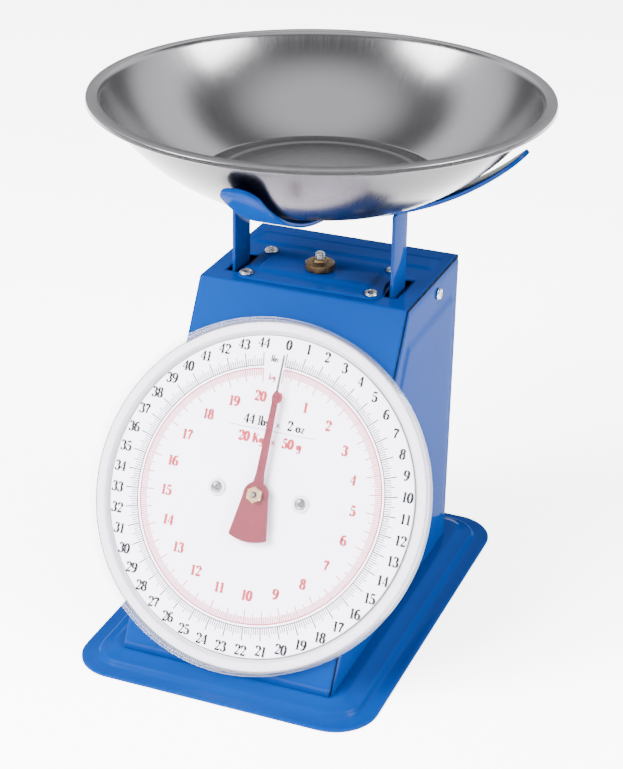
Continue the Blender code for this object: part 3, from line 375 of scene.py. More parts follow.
def spun_steel():
    """Satin stainless: fine strokes that run down the wall, faint rings on the floor, and painted shade where the
    sheet faces down, on the outside.
    """
    made = Finish("spun_stainless", (0.28, 0.275, 0.285), 0.2, 1.0)
    radius = made.distance_from(PAN_MIDDLE.x, PAN_MIDDLE.y)
    split = made.add("ShaderNodeSeparateXYZ", {0: made.place})
    across = made.calculate("SUBTRACT", split.outputs["X"], PAN_MIDDLE.x)
    along = made.calculate("SUBTRACT", split.outputs["Y"], PAN_MIDDLE.y)
    angle = made.calculate("ARCTAN2", across, along)
    spokes = made.add("ShaderNodeCombineXYZ", {"X": angle, "Y": radius}).outputs["Vector"]
    strokes = made.noise(1.0, 3, spokes, (150, 60, 1))
    rings = made.noise(1.0, 3, spokes, (1.5, 1500, 1))
    wall = made.spread(radius, 0.0, 1.0, 0.068, 0.085)
    grain = made.add("ShaderNodeMix", {"Factor": wall, "A": rings, "B": strokes}).outputs["Result"]
    # Painted shade: the colour goes from light to dark as the surface turns from facing up to facing sideways and
    # down.
    upward_for_painted_shade = made.add("ShaderNodeSeparateXYZ", {0: made.add("ShaderNodeNewGeometry").outputs["Normal"]})
    made.tint(upward_for_painted_shade.outputs["Z"], (0.085, 0.083, 0.086), (0.31, 0.305, 0.315), 0.0, 0.2)
    made.link(made.spread(grain, 0.19, 0.24), "Roughness")
    made.bump(grain, 0.012, 0.0002)
    return made.material


def bright_zinc(name="bright_zinc", colour=(0.42, 0.42, 0.43), roughness=0.27):
    """Plated steel with a cloudy passivated film and fine rolling marks."""
    made = Finish(name, colour, roughness, 1.0)
    made.tint(made.noise(90, 4), shade(colour, 0.86), shade(colour, 1.1))
    made.link(made.spread(made.noise(300, 3), roughness - 0.07, roughness + 0.1), "Roughness")
    made.bump(made.noise(900, 2, stretch=(1, 8, 8)), 0.12, 0.0001)
    return made.material


def dull_brass():
    """Machined brass that has begun to tarnish, darker in patches."""
    colour = tuple(colours().brass)
    made = Finish("dull_brass", colour, 0.38, 1.0)
    made.tint(made.noise(260, 5), shade(colour, 0.55), shade(colour, 1.25))
    made.link(made.spread(made.noise(500, 3), 0.3, 0.52), "Roughness")
    made.bump(made.noise(1800, 3), 0.2, 0.0001)
    return made.material


def pale_brass():
    """Fresh, pale turned brass with fine tool marks."""
    colour = (0.85, 0.58, 0.32)
    made = Finish("pale_brass", colour, 0.4, 1.0)
    made.tint(made.noise(400, 4), shade(colour, 0.8), shade(colour, 1.1))
    made.bump(made.noise(2200, 2), 0.12, 0.0001)
    return made.material


def oiled_wire():
    """Dark spring wire with a film of oil."""
    made = Finish("oiled_wire", (0.12, 0.115, 0.11), 0.34, 1.0)
    made.tint(made.noise(350, 4), (0.07, 0.07, 0.07), (0.16, 0.155, 0.15))
    made.bump(made.noise(2500, 2), 0.15, 0.0001)
    return made.material


def white_enamel():
    """Satin white enamel of the dial's dish and rim, with painted shade: the dial's white darkened by a third."""
    # Painted shade: the dish, rim and washers take the dial's white darkened by a third.
    colour = shade(tuple(colours().dial), 0.66)
    made = Finish("white_enamel", colour, 0.35)
    made.set("Specular IOR Level", 0.2)
    made.tint(made.noise(30, 3), shade(colour, 0.97), shade(colour, 1.02))
    made.bump(made.noise(700, 2), 0.05, 0.0001)
    return made.material


def dial_card():
    """The printed plate's matt white, with a trace of lilac."""
    colour = tuple(colours().dial)
    made = Finish("dial_card", colour, 0.55)
    made.set("Specular IOR Level", 0.1)
    made.tint(made.noise(18, 3), shade(colour, 0.975), shade(colour, 1.01))
    made.link(made.spread(made.noise(800, 2), 0.5, 0.6), "Roughness")
    made.bump(made.noise(1500, 2), 0.03, 0.0001)
    return made.material


def ink(name, colour):
    """Screen-printed ink, a little uneven."""
    made = Finish(name, colour, 0.6)
    made.set("Specular IOR Level", 0.04)
    made.tint(made.noise(900, 3), shade(colour, 0.85), shade(colour, 1.15))
    return made.material


def pointer_paint():
    """Dark red paint, slightly satin."""
    colour = tuple(colours().pointer)
    made = Finish("pointer_paint", colour, 0.48)
    made.set("Specular IOR Level", 0.08)
    made.tint(made.noise(150, 3), shade(colour, 0.92), shade(colour, 1.08))
    made.bump(made.noise(1400, 2), 0.08, 0.0001)
    return made.material


def clear_cap():
    """Clear moulded plastic, almost unseen face on. Seen edge on it turns whiter: a painted sheen that stands in for
    the plastic's reflection.
    """
    made = Finish("clear_plastic", (0.62, 0.64, 0.68), 0.06)
    # Painted sheen: a pale colour grows opaque towards the edges, where real plastic would reflect.
    edge = made.add("ShaderNodeLayerWeight", Blend=0.5).outputs["Facing"]
    sheen_drift = made.spread(made.noise(40, 2), 0.9, 1.1)
    painted_sheen = made.calculate("MULTIPLY", made.calculate("POWER", edge, 3.0), sheen_drift)
    made.link(made.spread(painted_sheen, 0.012, 0.5, 0.0, 1.0), "Alpha")
    return made.material


def black_gap():
    """Painted shade for a seam: a near-black that shines nowhere."""
    made = Finish("seam_painted_shade", (0.006, 0.008, 0.012), 0.6)
    made.set("Specular IOR Level", 0.0)
    made.tint(made.noise(200, 2), (0.004, 0.005, 0.008), (0.010, 0.012, 0.016))
    return made.material


def finish(make):
    """A finish made once, then shared by every piece that asks for it."""
    key = "kept_" + make.__name__
    name = bpy.context.scene.get(key)
    if not name:
        name = make().name
        bpy.context.scene[key] = name
    return bpy.data.materials[name]


# ---- Stage ---------------------------------------------------------------------------------------------
FLOOR_GLOW = 3.5
FLOOR_REACH = 6
ROOM_BRIGHTNESS = 3.2
ROOM_BANDS = (    # height in the room as a share, and how bright the walls are there
    (0.0, 0.22),
    (0.12, 0.07),
    (0.26, 0.07),
    (0.38, 0.5),
    (0.62, 0.64),
    (0.72, 0.06),
    (0.84, 0.07),
    (0.96, 0.5),
)


class SCALE_OT_stage(bpy.types.Operator):
    """Makes the camera, the pale floor and the soft lights"""

    bl_idname = "scale.stage"
    bl_label = "Camera, floor and lights"

    def execute(self, context):
        make_camera()
        make_floor()
        make_lights()
        return {"FINISHED"}


def make_camera():
    """A long lens above and to the right of the dial, looking down at the scale."""
    yaw, pitch, roll = radians(21.44), radians(25.84), radians(1.0)
    ahead = Vector((-sin(yaw) * cos(pitch), cos(yaw) * cos(pitch), -sin(pitch)))
    right = Vector((cos(yaw), sin(yaw), 0))
    up = right.cross(ahead)
    rolled_right = right * cos(roll) + up * sin(roll)
    rolled_up = up * cos(roll) - right * sin(roll)
    data = bpy.data.cameras.new("camera")
    data.lens = 90.0
    data.sensor_width = 36.0
    data.clip_start = 0.05
    data.clip_end = 20
    camera = bpy.data.objects.new("camera", data)
    turn = Matrix((rolled_right, rolled_up, -ahead)).transposed().to_4x4()
    camera.matrix_world = Matrix.Translation((0.379, -0.945, 0.636)) @ turn
    bpy.context.scene.collection.objects.link(camera)
    bpy.context.scene.camera = camera


def make_floor():
    """A wide, flat, pale sheet under the scale that glows a little, like a light table."""
    across = np.linspace(-FLOOR_REACH, FLOOR_REACH, 13)
    x, y = np.meshgrid(across, across)
    made = Finish("pale_floor", (0.93, 0.93, 0.93), 0.8)
    made.set("Specular IOR Level", 0.1)
    made.set("Emission Color", (1, 1, 1, 1))
    made.set("Emission Strength", FLOOR_GLOW)
    made.tint(made.noise(3, 2), (0.92, 0.92, 0.92), (0.94, 0.94, 0.94))
    sheet = band(np.stack([x, y, 0 * x], axis=-1), wrap_columns=False)
    floor = piece("floor", [sheet], made.material, None, closed=False)


def area_light(name, toward, distance, width, height, power, shine=True):
    """A soft box out along a direction from the scale. One without shine lights matt surfaces only."""
    aim = Vector((0, 0, 0.18))
    data = bpy.data.lights.new(name, "AREA")
    data.shape = "RECTANGLE"
    data.size, data.size_y = width, height
    data.energy = power
    light = bpy.data.objects.new(name, data)
    light.location = aim + Vector(toward).normalized() * distance
    light.rotation_euler = (aim - light.location).to_track_quat("-Z", "Y").to_euler()
    light.visible_glossy = shine
    bpy.context.scene.collection.objects.link(light)


def make_lights():
    """Two soft boxes that show in the pan's back wall, matt light on the dial and the right side, and a dim room."""
    area_light("right_box", (0.78, 0.05, 0.66), 1.7, 0.8, 0.7, 34)
    area_light("left_box", (-0.62, -0.45, 0.66), 1.7, 0.8, 0.7, 34)
    area_light("key", (-0.62, -0.80, 0.80), 2.2, 1.6, 1.6, 320, False)
    area_light("overhead", (0.0, 0.1, 1.0), 2.4, 2.4, 2.4, 20, False)
    area_light("side_fill", (0.95, -0.35, 0.45), 2.0, 1.2, 1.2, 75, False)
    make_room()


def make_room():
    """Walls whose brightness depends on height, in the bands of ROOM_BANDS."""
    world = bpy.data.worlds.new("soft_room")
    world.use_nodes = True
    nodes, links = world.node_tree.nodes, world.node_tree.links
    place = nodes.new("ShaderNodeTexCoord")
    split = nodes.new("ShaderNodeSeparateXYZ")
    links.new(place.outputs["Generated"], split.inputs[0])
    ramp = nodes.new("ShaderNodeValToRGB")
    links.new(split.outputs["Z"], ramp.inputs["Fac"])
    elements = ramp.color_ramp.elements
    while len(elements) < len(ROOM_BANDS):
        elements.new(0.5)
    for element, (position, value) in zip(elements, ROOM_BANDS):
        element.position = position
        element.color = (value * 0.97, value * 0.98, value, 1)
    background = nodes["Background"]
    links.new(ramp.outputs["Color"], background.inputs["Color"])
    background.inputs["Strength"].default_value = ROOM_BRIGHTNESS
    bpy.context.scene.world = world


# ---- Base ----------------------------------------------------------------------------------------------
class SCALE_OT_base(bpy.types.Operator):
    """Makes the pressed base: flat flange, rolled ridge and the plateau under the case"""

    bl_idname = "scale.base"
    bl_label = "Base"

    def execute(self, context):
        make_base()
        return {"FINISHED"}


def make_base():
    """Rounded rectangles whose inset, corner and height follow one section through the pressing.

    The section runs in from the edge: cut edge, flat flange, a steep step with a round brow, and a gentle shoulder.
    Each front corner of the flange has a round dimple, a Gaussian dip in the height.
    """
    half_x = (BASE_HIGH.x - BASE_LOW.x) / 2
    half_y = (BASE_HIGH.y - BASE_LOW.y) / 2
    top = BASE_HIGH.z
    sheet = sizes().sheet
    section = np.array(
        [
            (0.0000, 0.0003),
            (0.0000, 0.0010),
            (0.0003, 0.0014),
            (0.0010, 0.0016),
            (0.0030, 0.0016),
            (0.0070, 0.0018),
            (0.0084, 0.0021),
            (0.0094, 0.0029),
            (0.0101, 0.0040),
            (0.0107, 0.0047),
            (0.0115, 0.0051),
            (0.0130, 0.0054),
            (0.0155, 0.0060),
            (0.0178, 0.0072),
            (0.0192, 0.0080),
            (0.0206, top - 0.00012),
            (0.0225, top),
            (0.0260, top),
        ]
    )
    under = section[::-1].copy()
    under[:, 1] = np.maximum(under[:, 1] - sheet, 0.0)
    under[-2:, 1] = (0.0, 0.0)
    under[-1, 0] = 0.0003
    rows = np.concatenate([section, under[:-1]])
    rings = []
    for depth, height in rows:
        corner = max(0.026 - depth * 0.75, 0.006)
        outline = rounded_outline(half_x - depth, half_y - depth, corner, 14, 10)
        rings.append(np.column_stack([outline, np.full(len(outline), height)]))
    rings = np.stack(rings)
    for side in (-1, 1):
        away = (rings[..., 0] - side * (half_x - 0.0115)) ** 2 + (rings[..., 1] + half_y - 0.0115) ** 2
        rings[..., 2] -= 0.0009 * np.exp(-away / 0.0026**2) * (rings[..., 2] > 0.001)
    count = len(section)
    points, faces = band(rings)
    columns = rings.shape[1]
    crown = [(count - 1) * columns + i for i in range(columns)]
    floor = [count * columns + i for i in range(columns)]
    # The plateau is one face on top and one below. The band between their rings is left out.
    faces = faces[: (count - 1) * columns] + faces[count * columns :]
    faces += [crown, floor[::-1]]
    last = [(len(rings) - 1) * columns + i for i in range(columns)]
    faces += [[last[i], last[(i + 1) % columns], (i + 1) % columns, i] for i in range(columns)]
    piece("base_pressing", [(points, faces)], finish(enamel), "case", ["base_plate"], 40)


# ---- Case ----------------------------------------------------------------------------------------------
class SCALE_OT_case(bpy.types.Operator):
    """Makes the folded case, its two sides, painted shade strips in the seams, and the cover plate round the zero stud
    """

    bl_idname = "scale.case"
    bl_label = "Case"

    def execute(self, context):
        make_wrap()
        for side in (-1, 1):
            make_side(side)
        make_cover()
        return {"FINISHED"}


def with_lines(values, lines):
    """Sorted grid lines that include every value in lines exactly, and none within 0.4 mm of one."""
    values = np.asarray(values)
    lines = np.asarray(lines)
    far = np.min(np.abs(values[:, None] - lines[None, :]), axis=1) > 0.0004
    return np.sort(np.concatenate([values[far], lines]))


def make_wrap():
    """The folded sheet: a side-view path with round bends, carried across the case's width.

    Grid lines lie on the slots' edges, and the quads inside each slot are left out.
    A flat-topped rib stands on the top, the product of smooth steps along and across it.
    """
    bend = sizes().bend
    lean = (CASE_HIGH.z - CASE_LOW.z) * tan(LEAN)
    corners = [
        (CASE_LOW.y, CASE_LOW.z),
        (CASE_LOW.y + lean, CASE_HIGH.z),
        (CASE_HIGH.y, CASE_HIGH.z),
        (CASE_HIGH.y, CASE_LOW.z),
    ]
    path = filleted(corners, (bend, bend), 8)
    slot_y = (STUD.y - SLOT_HALF_Y, STUD.y + SLOT_HALF_Y)
    flat = with_lines(np.arange(path[9, 0] + 0.001, path[10, 0] - 0.001, 0.0014), slot_y)
    front = np.linspace(0, 1, 40)[1:-1, None]
    first = path[0] * (1 - front) + path[1] * front
    back = np.linspace(0, 1, 30)[1:-1, None]
    rear = path[-2] * (1 - back) + path[-1] * back
    level = np.column_stack([flat, np.full(len(flat), CASE_HIGH.z)])
    along = np.concatenate([path[:1], first, path[1:10], level, path[10:-1], rear, path[-1:]])
    half = (CASE_HIGH.x - CASE_LOW.x) / 2
    slot_x = middle("post_right").x
    edges = [side * slot_x + end * SLOT_HALF_X for side in (-1, 1) for end in (-1, 1)]
    across = with_lines(np.linspace(-half, half, 86), (-half, half, *edges))
    x, y = np.meshgrid(across, along[:, 0])
    z = np.repeat(along[:, 1:2], len(across), axis=1)
    rib_front, rib_back, rib_end = (0.0628, 0.0662), (0.0795, 0.0825), (0.0555, 0.0585)
    rib = smoothstep(*rib_front, y) * (1 - smoothstep(*rib_back, y))
    rib = rib * smoothstep(-rib_end[1], -rib_end[0], x) * (1 - smoothstep(*rib_end, x))
    z = z + sizes().top_rib * rib * (z > CASE_HIGH.z - 1e-6)
    mid_x = (x[:-1, :-1] + x[1:, 1:]) / 2
    mid_y = (y[:-1, :-1] + y[1:, 1:]) / 2
    flat_quads = z[:-1, :-1] > CASE_HIGH.z - 0.0005
    in_slot = (np.abs(np.abs(mid_x) - slot_x) < SLOT_HALF_X) & (mid_y > slot_y[0]) & (mid_y < slot_y[1]) & flat_quads
    shape = band(np.stack([x, y, z], axis=-1), wrap_columns=False, skip=in_slot)
    shell = piece("case_shell", [shape], finish(enamel), "case", ["case_wrap"], 40)
    if sum(face.normal.z for face in shell.data.polygons) < 0:
        shell.data.flip_normals()
    wall = shell.modifiers.new("wall", "SOLIDIFY")
    wall.thickness = sizes().sheet
    wall.offset = -1


def side_outline(shrink, foot):
    """The side's four corners as (y, z): foot front, top front, top back, foot back."""
    lean = tan(LEAN)
    run = shrink / cos(LEAN)
    top = CASE_HIGH.z - shrink
    front_foot = CASE_LOW.y + (foot - CASE_LOW.z) * lean + run
    front_top = CASE_LOW.y + (top - CASE_LOW.z) * lean + run
    return np.array([(front_foot, foot), (front_top, top), (CASE_HIGH.y - shrink, top), (CASE_HIGH.y - shrink, foot)])


def make_side(side):
    """A flat side as a bilinear grid between its four corners, (1-u)(1-v)A + (1-u)vB + uvC + u(1-v)D.

    The pressed field is a smooth step of the distance inside its own four edges, and the screw sits in a round dip.
    """
    name = "right" if side > 0 else "left"
    low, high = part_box(f"side_panel_{name}")
    inner = min(abs(low.x), abs(high.x))
    sheet, grid = 0.001, 90
    front_margin, back_margin, top_margin, foot_margin = 0.0125, 0.012, 0.0235, 0.017
    a, b, c, d = side_outline(PANEL_SHRINK, CASE_LOW.z)
    u, v = np.meshgrid(np.linspace(0, 1, grid), np.linspace(0, 1, grid))
    u, v = u[..., None], v[..., None]
    flat = (1 - u) * (1 - v) * a + (1 - u) * v * b + u * v * c + u * (1 - v) * d
    y, z = flat[..., 0], flat[..., 1]
    lean = tan(LEAN)
    front, back, top = (y - CASE_LOW.y - (z - CASE_LOW.z) * lean) * cos(LEAN), CASE_HIGH.y - y, CASE_HIGH.z - z
    foot = z - CASE_LOW.z
    inside = np.minimum.reduce([front - front_margin, back - back_margin, top - top_margin, foot - foot_margin])
    screw = middle(f"side_screw_{name}")
    dip = np.exp(-((y - screw.y) ** 2 + (z - screw.z) ** 2) / 0.0052**2)
    edge = np.minimum.reduce([front, back, top]) - PANEL_SHRINK
    roll = 0.0007 * (1 - np.sqrt(np.clip(edge / 0.0009, 0, 1)))
    rise = sizes().emboss * smoothstep(-0.0012, 0.0012, inside) - 0.0005 * dip - roll
    outer = np.stack([side * (inner + sheet + rise), y, z], axis=-1)
    hidden = np.stack([side * (inner + 0.0002 + np.maximum(rise - 0.0001, 0)), y, z], axis=-1)
    foot_edge, top_edge = np.arange(grid), grid * grid - 2 - np.arange(grid - 1)
    back_edge, front_edge = np.arange(1, grid) * grid + grid - 1, np.arange(grid - 2, 0, -1) * grid
    rim = np.concatenate([foot_edge, back_edge, top_edge, front_edge])
    outer_points, outer_faces = band(outer, wrap_columns=False)
    hidden_points, hidden_faces = band(hidden, wrap_columns=False)
    count = len(outer_points)
    faces = outer_faces + [[i + count for i in face[::-1]] for face in hidden_faces]
    following = np.roll(rim, -1)
    faces += np.column_stack([rim, rim + count, following + count, following]).tolist()
    shape = (np.concatenate([outer_points, hidden_points]), faces)
    piece(f"side_{name}", [shape], finish(enamel), "case", [f"side_panel_{name}"], 40)
    # A thin near-black strip along the side's outline: painted shade in the seam between the side and the folded
    # sheet.
    seam = side_outline(0.0004, CASE_LOW.z + 0.0002)
    corners = np.column_stack([np.zeros(4), seam])
    shift = np.array([side * (CASE_HIGH.x + 0.00004), 0, 0])
    depth = np.array([side * 0.00018, 0, 0])
    strip = capped(np.stack([corners + shift, corners + shift + depth]))
    piece(f"seam_{name}", [strip], finish(black_gap), "case")


def cover_outline(shrink, waist):
    """The cover plate's edge: a rounded rectangle with a hollow in each short side, of raised-cosine depth."""
    half_x = (COVER_HIGH.x - COVER_LOW.x) / 2 - shrink
    half_y = (COVER_HIGH.y - COVER_LOW.y) / 2 - shrink
    outline = rounded_outline(half_x, half_y, 0.0062 - shrink * 0.5, 8, 24)
    reach = np.clip(np.abs(outline[:, 1]) / 0.0125, 0, 1)
    hollow = waist * (1 + np.cos(pi * reach)) / 2
    outline[:, 0] -= np.sign(outline[:, 0]) * hollow * (np.abs(outline[:, 0]) > half_x - 0.001)
    return outline


def make_cover():
    """Rings from the plate's edge in to the raised field and the stud's hole, all with the same number of points."""
    low = COVER_LOW.z
    flat = low + 0.0014
    crown = COVER_HIGH.z
    field = [rounded_outline(0.0365 - s, 0.0138 - s, 0.0045 - s * 0.4, 8, 24) for s in (0, 0.0006, 0.0023, 0.0031)]
    angle = np.arctan2(field[3][:, 1], field[3][:, 0])
    hole = np.column_stack([np.cos(angle), np.sin(angle)]) * 0.0032
    waist = 0.0021
    outlines = [
        hole,
        cover_outline(0.0, waist),
        cover_outline(0.0, waist),
        cover_outline(0.0005, waist),
        field[0],
        field[1],
        field[2],
        field[3],
        hole,
    ]
    heights = [low, low, flat - 0.0005, flat, flat, flat + 0.0002, crown - 0.0002, crown, crown]
    rings = stacked(outlines, heights)
    shape = placed(band(rings, wrap_rows=True), Matrix.Translation((STUD.x, STUD.y, 0)))
    piece("cover", [shape], finish(enamel), "case", ["cover_plate"], 30)


# ---- Fasteners -----------------------------------------------------------------------------------------
class SCALE_OT_fasteners(bpy.types.Operator):
    """Makes the cross-head screws of the cover, the sides and the dial, with the dial screws' washers"""

    bl_idname = "scale.fasteners"
    bl_label = "Screws"

    def execute(self, context):
        for index in range(1, 5):
            make_screw(f"cover_screw_{index}", (0, 0, 1), 0.0041, 0.0021, finish(bright_zinc), 20.0 * index)
        for name, side in (("left", -1), ("right", 1)):
            make_screw(f"side_screw_{name}", (side, 0, 0), 0.0036, 0.0019, finish(bright_zinc), 25)
        for name, turn in (("left", 12), ("right", 40)):
            make_dial_screw(name, turn)
        return {"FINISHED"}


def screw_head(radius, height, slot=0.19, steps=56):
    """A domed head on a polar grid: z = h (1 - 0.42 (r/R)^2), rounded at the edge, less a cross recess."""
    share = np.concatenate([np.linspace(0, 0.72, 22), np.linspace(0.76, 1, 10)])
    angle = np.linspace(0, 2 * pi, steps, endpoint=False)
    r, a = np.meshgrid(share, angle, indexing="ij")
    x, y = r * np.cos(a), r * np.sin(a)
    dome = 1 - 0.42 * r**2 - 0.45 * smoothstep(0.82, 1.0, r)
    wing = np.minimum(np.abs(x), np.abs(y))
    recess = (1 - smoothstep(slot * 0.45, slot * 0.8, wing)) * (1 - smoothstep(0.5, 0.66, r))
    z = dome - 0.62 * recess * (1 - 0.5 * r)
    top = np.stack([x * radius, y * radius, z * height], axis=-1)
    foot = np.stack([x[-1] * radius, y[-1] * radius, 0 * x[-1]], axis=-1)
    return capped(np.concatenate([top, foot[None]]))


def make_screw(node, axis, radius, height, metal, turn):
    """A head on its seat, with the shank that the solid model gives it."""
    low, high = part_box(node)
    seat = (low + high) / 2
    axis = Vector(axis)
    tip = max(high.dot(axis), low.dot(axis))
    seat += axis * (tip - height - seat.dot(axis))
    length = abs((high - low).dot(axis)) - height
    outward = axis.to_track_quat("Z", "Y").to_matrix().to_4x4()
    matrix = Matrix.Translation(seat) @ outward @ Matrix.Rotation(radians(turn), 4, "Z")
    shank = capped(turned([(radius * 0.36, 0.0), (radius * 0.36, -length), (0.0002, -length)], 20))
    shapes = [placed(screw_head(radius, height), matrix), placed(shank, matrix)]
    piece(node + "_head", shapes, metal, "case", [node], 28)


def make_dial_screw(name, turn):
    """A small screw in a white cup washer."""
    node = f"dial_screw_{name}"
    side = -1 if name == "left" else 1
    plate_top = 0.0022
    matrix = dial_frame(side * 0.026, 0, plate_top)
    washer = filleted([(0.0034, 0.0001), (0.0050, 0.0001), (0.0050, 0.0011), (0.0034, 0.0011)], (0.0003, 0.0004), 4)
    ring = placed(band(turned(washer, 48), wrap_rows=True), matrix)
    piece(f"dial_washer_{name}", [ring], finish(white_enamel), "case")
    spin = matrix @ Matrix.Rotation(radians(turn), 4, "Z")
    shank = capped(turned([(0.0014, 0.0), (0.0014, -0.006), (0.0002, -0.006)], 20))
    shapes = [placed(screw_head(0.0032, 0.0018), spin), placed(shank, spin)]
    piece(node + "_head", shapes, finish(bright_zinc), "case", [node], 28)


# ---- Zero adjustment -----------------------------------------------------------------------------------
class SCALE_OT_zero(bpy.types.Operator):
    """Makes the knurled brass zero nut and its threaded stud"""

    bl_idname = "scale.zero"
    bl_label = "Zero nut"

    def execute(self, context):
        make_zero_nut()
        make_stud()
        return {"FINISHED"}


def make_zero_nut():
    """A turned profile whose radius carries ribs, r + d |cos(n a)|, over the height of the knurled band."""
    low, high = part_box("zero_nut")
    height = high.z - low.z
    radius = 0.0087
    corners = [
        (0.0031, 0.0),
        (radius - 0.0009, 0.0),
        (radius, 0.0007),
        (radius, height * 0.62),
        (radius - 0.0008, height * 0.72),
        (0.0047, height * 0.75),
        (0.0044, height * 0.82),
        (0.0043, height - 0.0004),
        (0.0040, height),
        (0.0031, height),
    ]
    profile = filleted(corners, [0.0003] * 5 + [0.0002] * 3, 3)
    rings = turned(profile, 288)
    up = rings[..., 2]
    knurled = smoothstep(0.0004, 0.0008, up) * (1 - smoothstep(height * 0.57, height * 0.62, up))
    knurled = knurled * (np.hypot(rings[..., 0], rings[..., 1]) > radius - 0.0005)
    angle = np.arctan2(rings[..., 1], rings[..., 0])
    ribs = 1 - 0.035 * knurled * (1 - np.abs(np.cos(24 * angle)))
    rings[..., :2] *= ribs[..., None]
    shape = placed(band(rings, wrap_rows=True), Matrix.Translation((STUD.x, STUD.y, low.z)))
    piece("zero_nut_knurled", [shape], finish(dull_brass), "zero_nut", ["zero_nut"], 30)


def make_stud():
    """A thread as a radius that rises and falls with height and angle: r0 + d tri(z/p - a/2pi)."""
    low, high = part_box("zero_stud")
    head = 0.003
    radius, pitch, depth = 0.00275, 0.001, 0.00028
    heights = np.linspace(low.z + head, high.z - 0.0006, 330)
    angle = np.linspace(0, 2 * pi, 40, endpoint=False)
    z, a = np.meshgrid(heights, angle, indexing="ij")
    phase = (z / pitch - a / (2 * pi)) % 1.0
    r = radius - depth * np.abs(2 * phase - 1)
    thread = np.stack([r * np.cos(a), r * np.sin(a), z], axis=-1)
    crown = turned([(radius * 0.82, high.z - 0.0001), (radius * 0.6, high.z)], 40)
    foot = turned([(radius * 1.8, low.z), (radius * 1.8, low.z + head)], 40)
    shape = capped(np.concatenate([foot, thread, crown]))
    shape = placed(shape, Matrix.Translation((STUD.x, STUD.y, 0)))
    piece("zero_stud_threaded", [shape], finish(bright_zinc), "hanger", ["zero_stud"], 50)


# ---- Posts and carrier ---------------------------------------------------------------------------------
class SCALE_OT_carrier(bpy.types.Operator):
    """Makes the two flat posts, the crossed arms over them, and their rivet"""

    bl_idname = "scale.carrier"
    bl_label = "Posts and arms"

    def execute(self, context):
        for name in ("left", "right"):
            make_post(name)
        make_arm("carrier_arm_cross", False)
        make_arm("carrier_arm_front_back", True)
        make_rivet()
        return {"FINISHED"}


def make_post(name):
    """A flat bar with softened edges, as rounded rectangles stacked up its length."""
    low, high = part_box(f"post_{name}")
    centre = (low + high) / 2
    half_x, half_y = (high.x - low.x) / 2, (high.y - low.y) / 2
    shrink = np.array([0.0004, 0.0, 0.0, 0.0004])
    heights = [low.z, low.z + 0.0004, high.z - 0.0004, high.z]
    outlines = [rounded_outline(half_x - s, half_y - s, 0.0005, 4) for s in shrink]
    shape = placed(capped(stacked(outlines, heights)), Matrix.Translation((centre.x, centre.y, 0)))
    piece(f"post_bar_{name}", [shape], finish(enamel), "carriage", [f"post_{name}"], 40)


def make_arm(node, over):
    """A strip bent to an arc, carried along its length as a section with round edges.

    At distance s from the middle the underside is at z0 + R - sqrt(R^2 - s^2), and the half width shrinks on a quarter
    circle near each tip. The arm that crosses over is lifted near the middle by a smooth step.
    """
    low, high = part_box(node)
    radius, sheet = 0.173, 0.0025
    reach = max(high.x - low.x, high.y - low.y) / 2
    half = min(high.x - low.x, high.y - low.y) / 2
    corner = 0.0085
    end = corner * (1 - np.cos(np.linspace(0, pi / 2, 12)))
    s = np.concatenate([end - reach, np.linspace(corner - reach, reach - corner, 120)[1:-1], reach - end[::-1]])
    tip = np.clip(corner - (reach - np.abs(s)), 0, corner)
    width = half - corner + np.sqrt(np.maximum(corner**2 - tip**2, 0))
    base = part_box("carrier_arm_cross")[0].z
    under = base + radius - np.sqrt(radius**2 - s**2)
    if over:
        sag, away = half**2 / (2 * radius), np.abs(s)
        near = 1 - smoothstep(half + 0.0020, half + 0.0062, away)
        under = np.where(away < half + 0.0062, np.minimum(under, base + sag), under)
        under = under + (sheet + 0.0003) * near
    slope = np.gradient(under, s)
    normal = np.stack([-slope, np.ones_like(slope)], axis=-1) / np.sqrt(1 + slope**2)[:, None]
    edge = 0.0006
    section = rounded_outline(1.0, 1.0, 0.35, 4)
    across = np.sign(section[:, 0]) * (width[:, None] - edge * (1 - np.abs(np.clip(section[:, 0], -1, 1))) / 0.35)
    through = (section[:, 1] + 1) / 2 * sheet
    along = s[:, None] + normal[:, 0:1] * through
    up = under[:, None] + normal[:, 1:2] * through
    x, y = (across, along) if over else (along, across)
    points = np.stack([CARRIER.x + x, CARRIER.y + y, up], axis=-1)
    piece(node.replace("carrier", "bent"), [capped(points)], finish(enamel), "carriage", [node], 45)


def make_rivet():
    """A low domed rivet with a flat collar below."""
    low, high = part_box("carrier_rivet")
    span = high.z - low.z
    collar, shank, head = 0.0046, 0.0029, 0.0052
    corners = [
        (0.0, 0.0),
        (collar, 0.0),
        (collar, 0.0011),
        (shank, 0.0011),
        (shank, span - 0.0016),
        (head, span - 0.0016),
        (head - 0.001, span - 0.0004),
        (0.0, span),
    ]
    profile = filleted(corners, (0.0003, 0.0002, 0.0001, 0.0001, 0.0002, 0.0008), 3)
    shape = placed(band(turned(profile, 40)), Matrix.Translation((CARRIER.x, CARRIER.y, low.z)))
    piece("carrier_rivet_domed", [shape], finish(bright_zinc), "carriage", ["carrier_rivet"], 35)


# ---- Pan -----------------------------------------------------------------------------------------------
class SCALE_OT_pan(bpy.types.Operator):
    """Makes the spun stainless pan"""

    bl_idname = "scale.pan"
    bl_label = "Pan"

    def execute(self, context):
        make_pan()
        return {"FINISHED"}


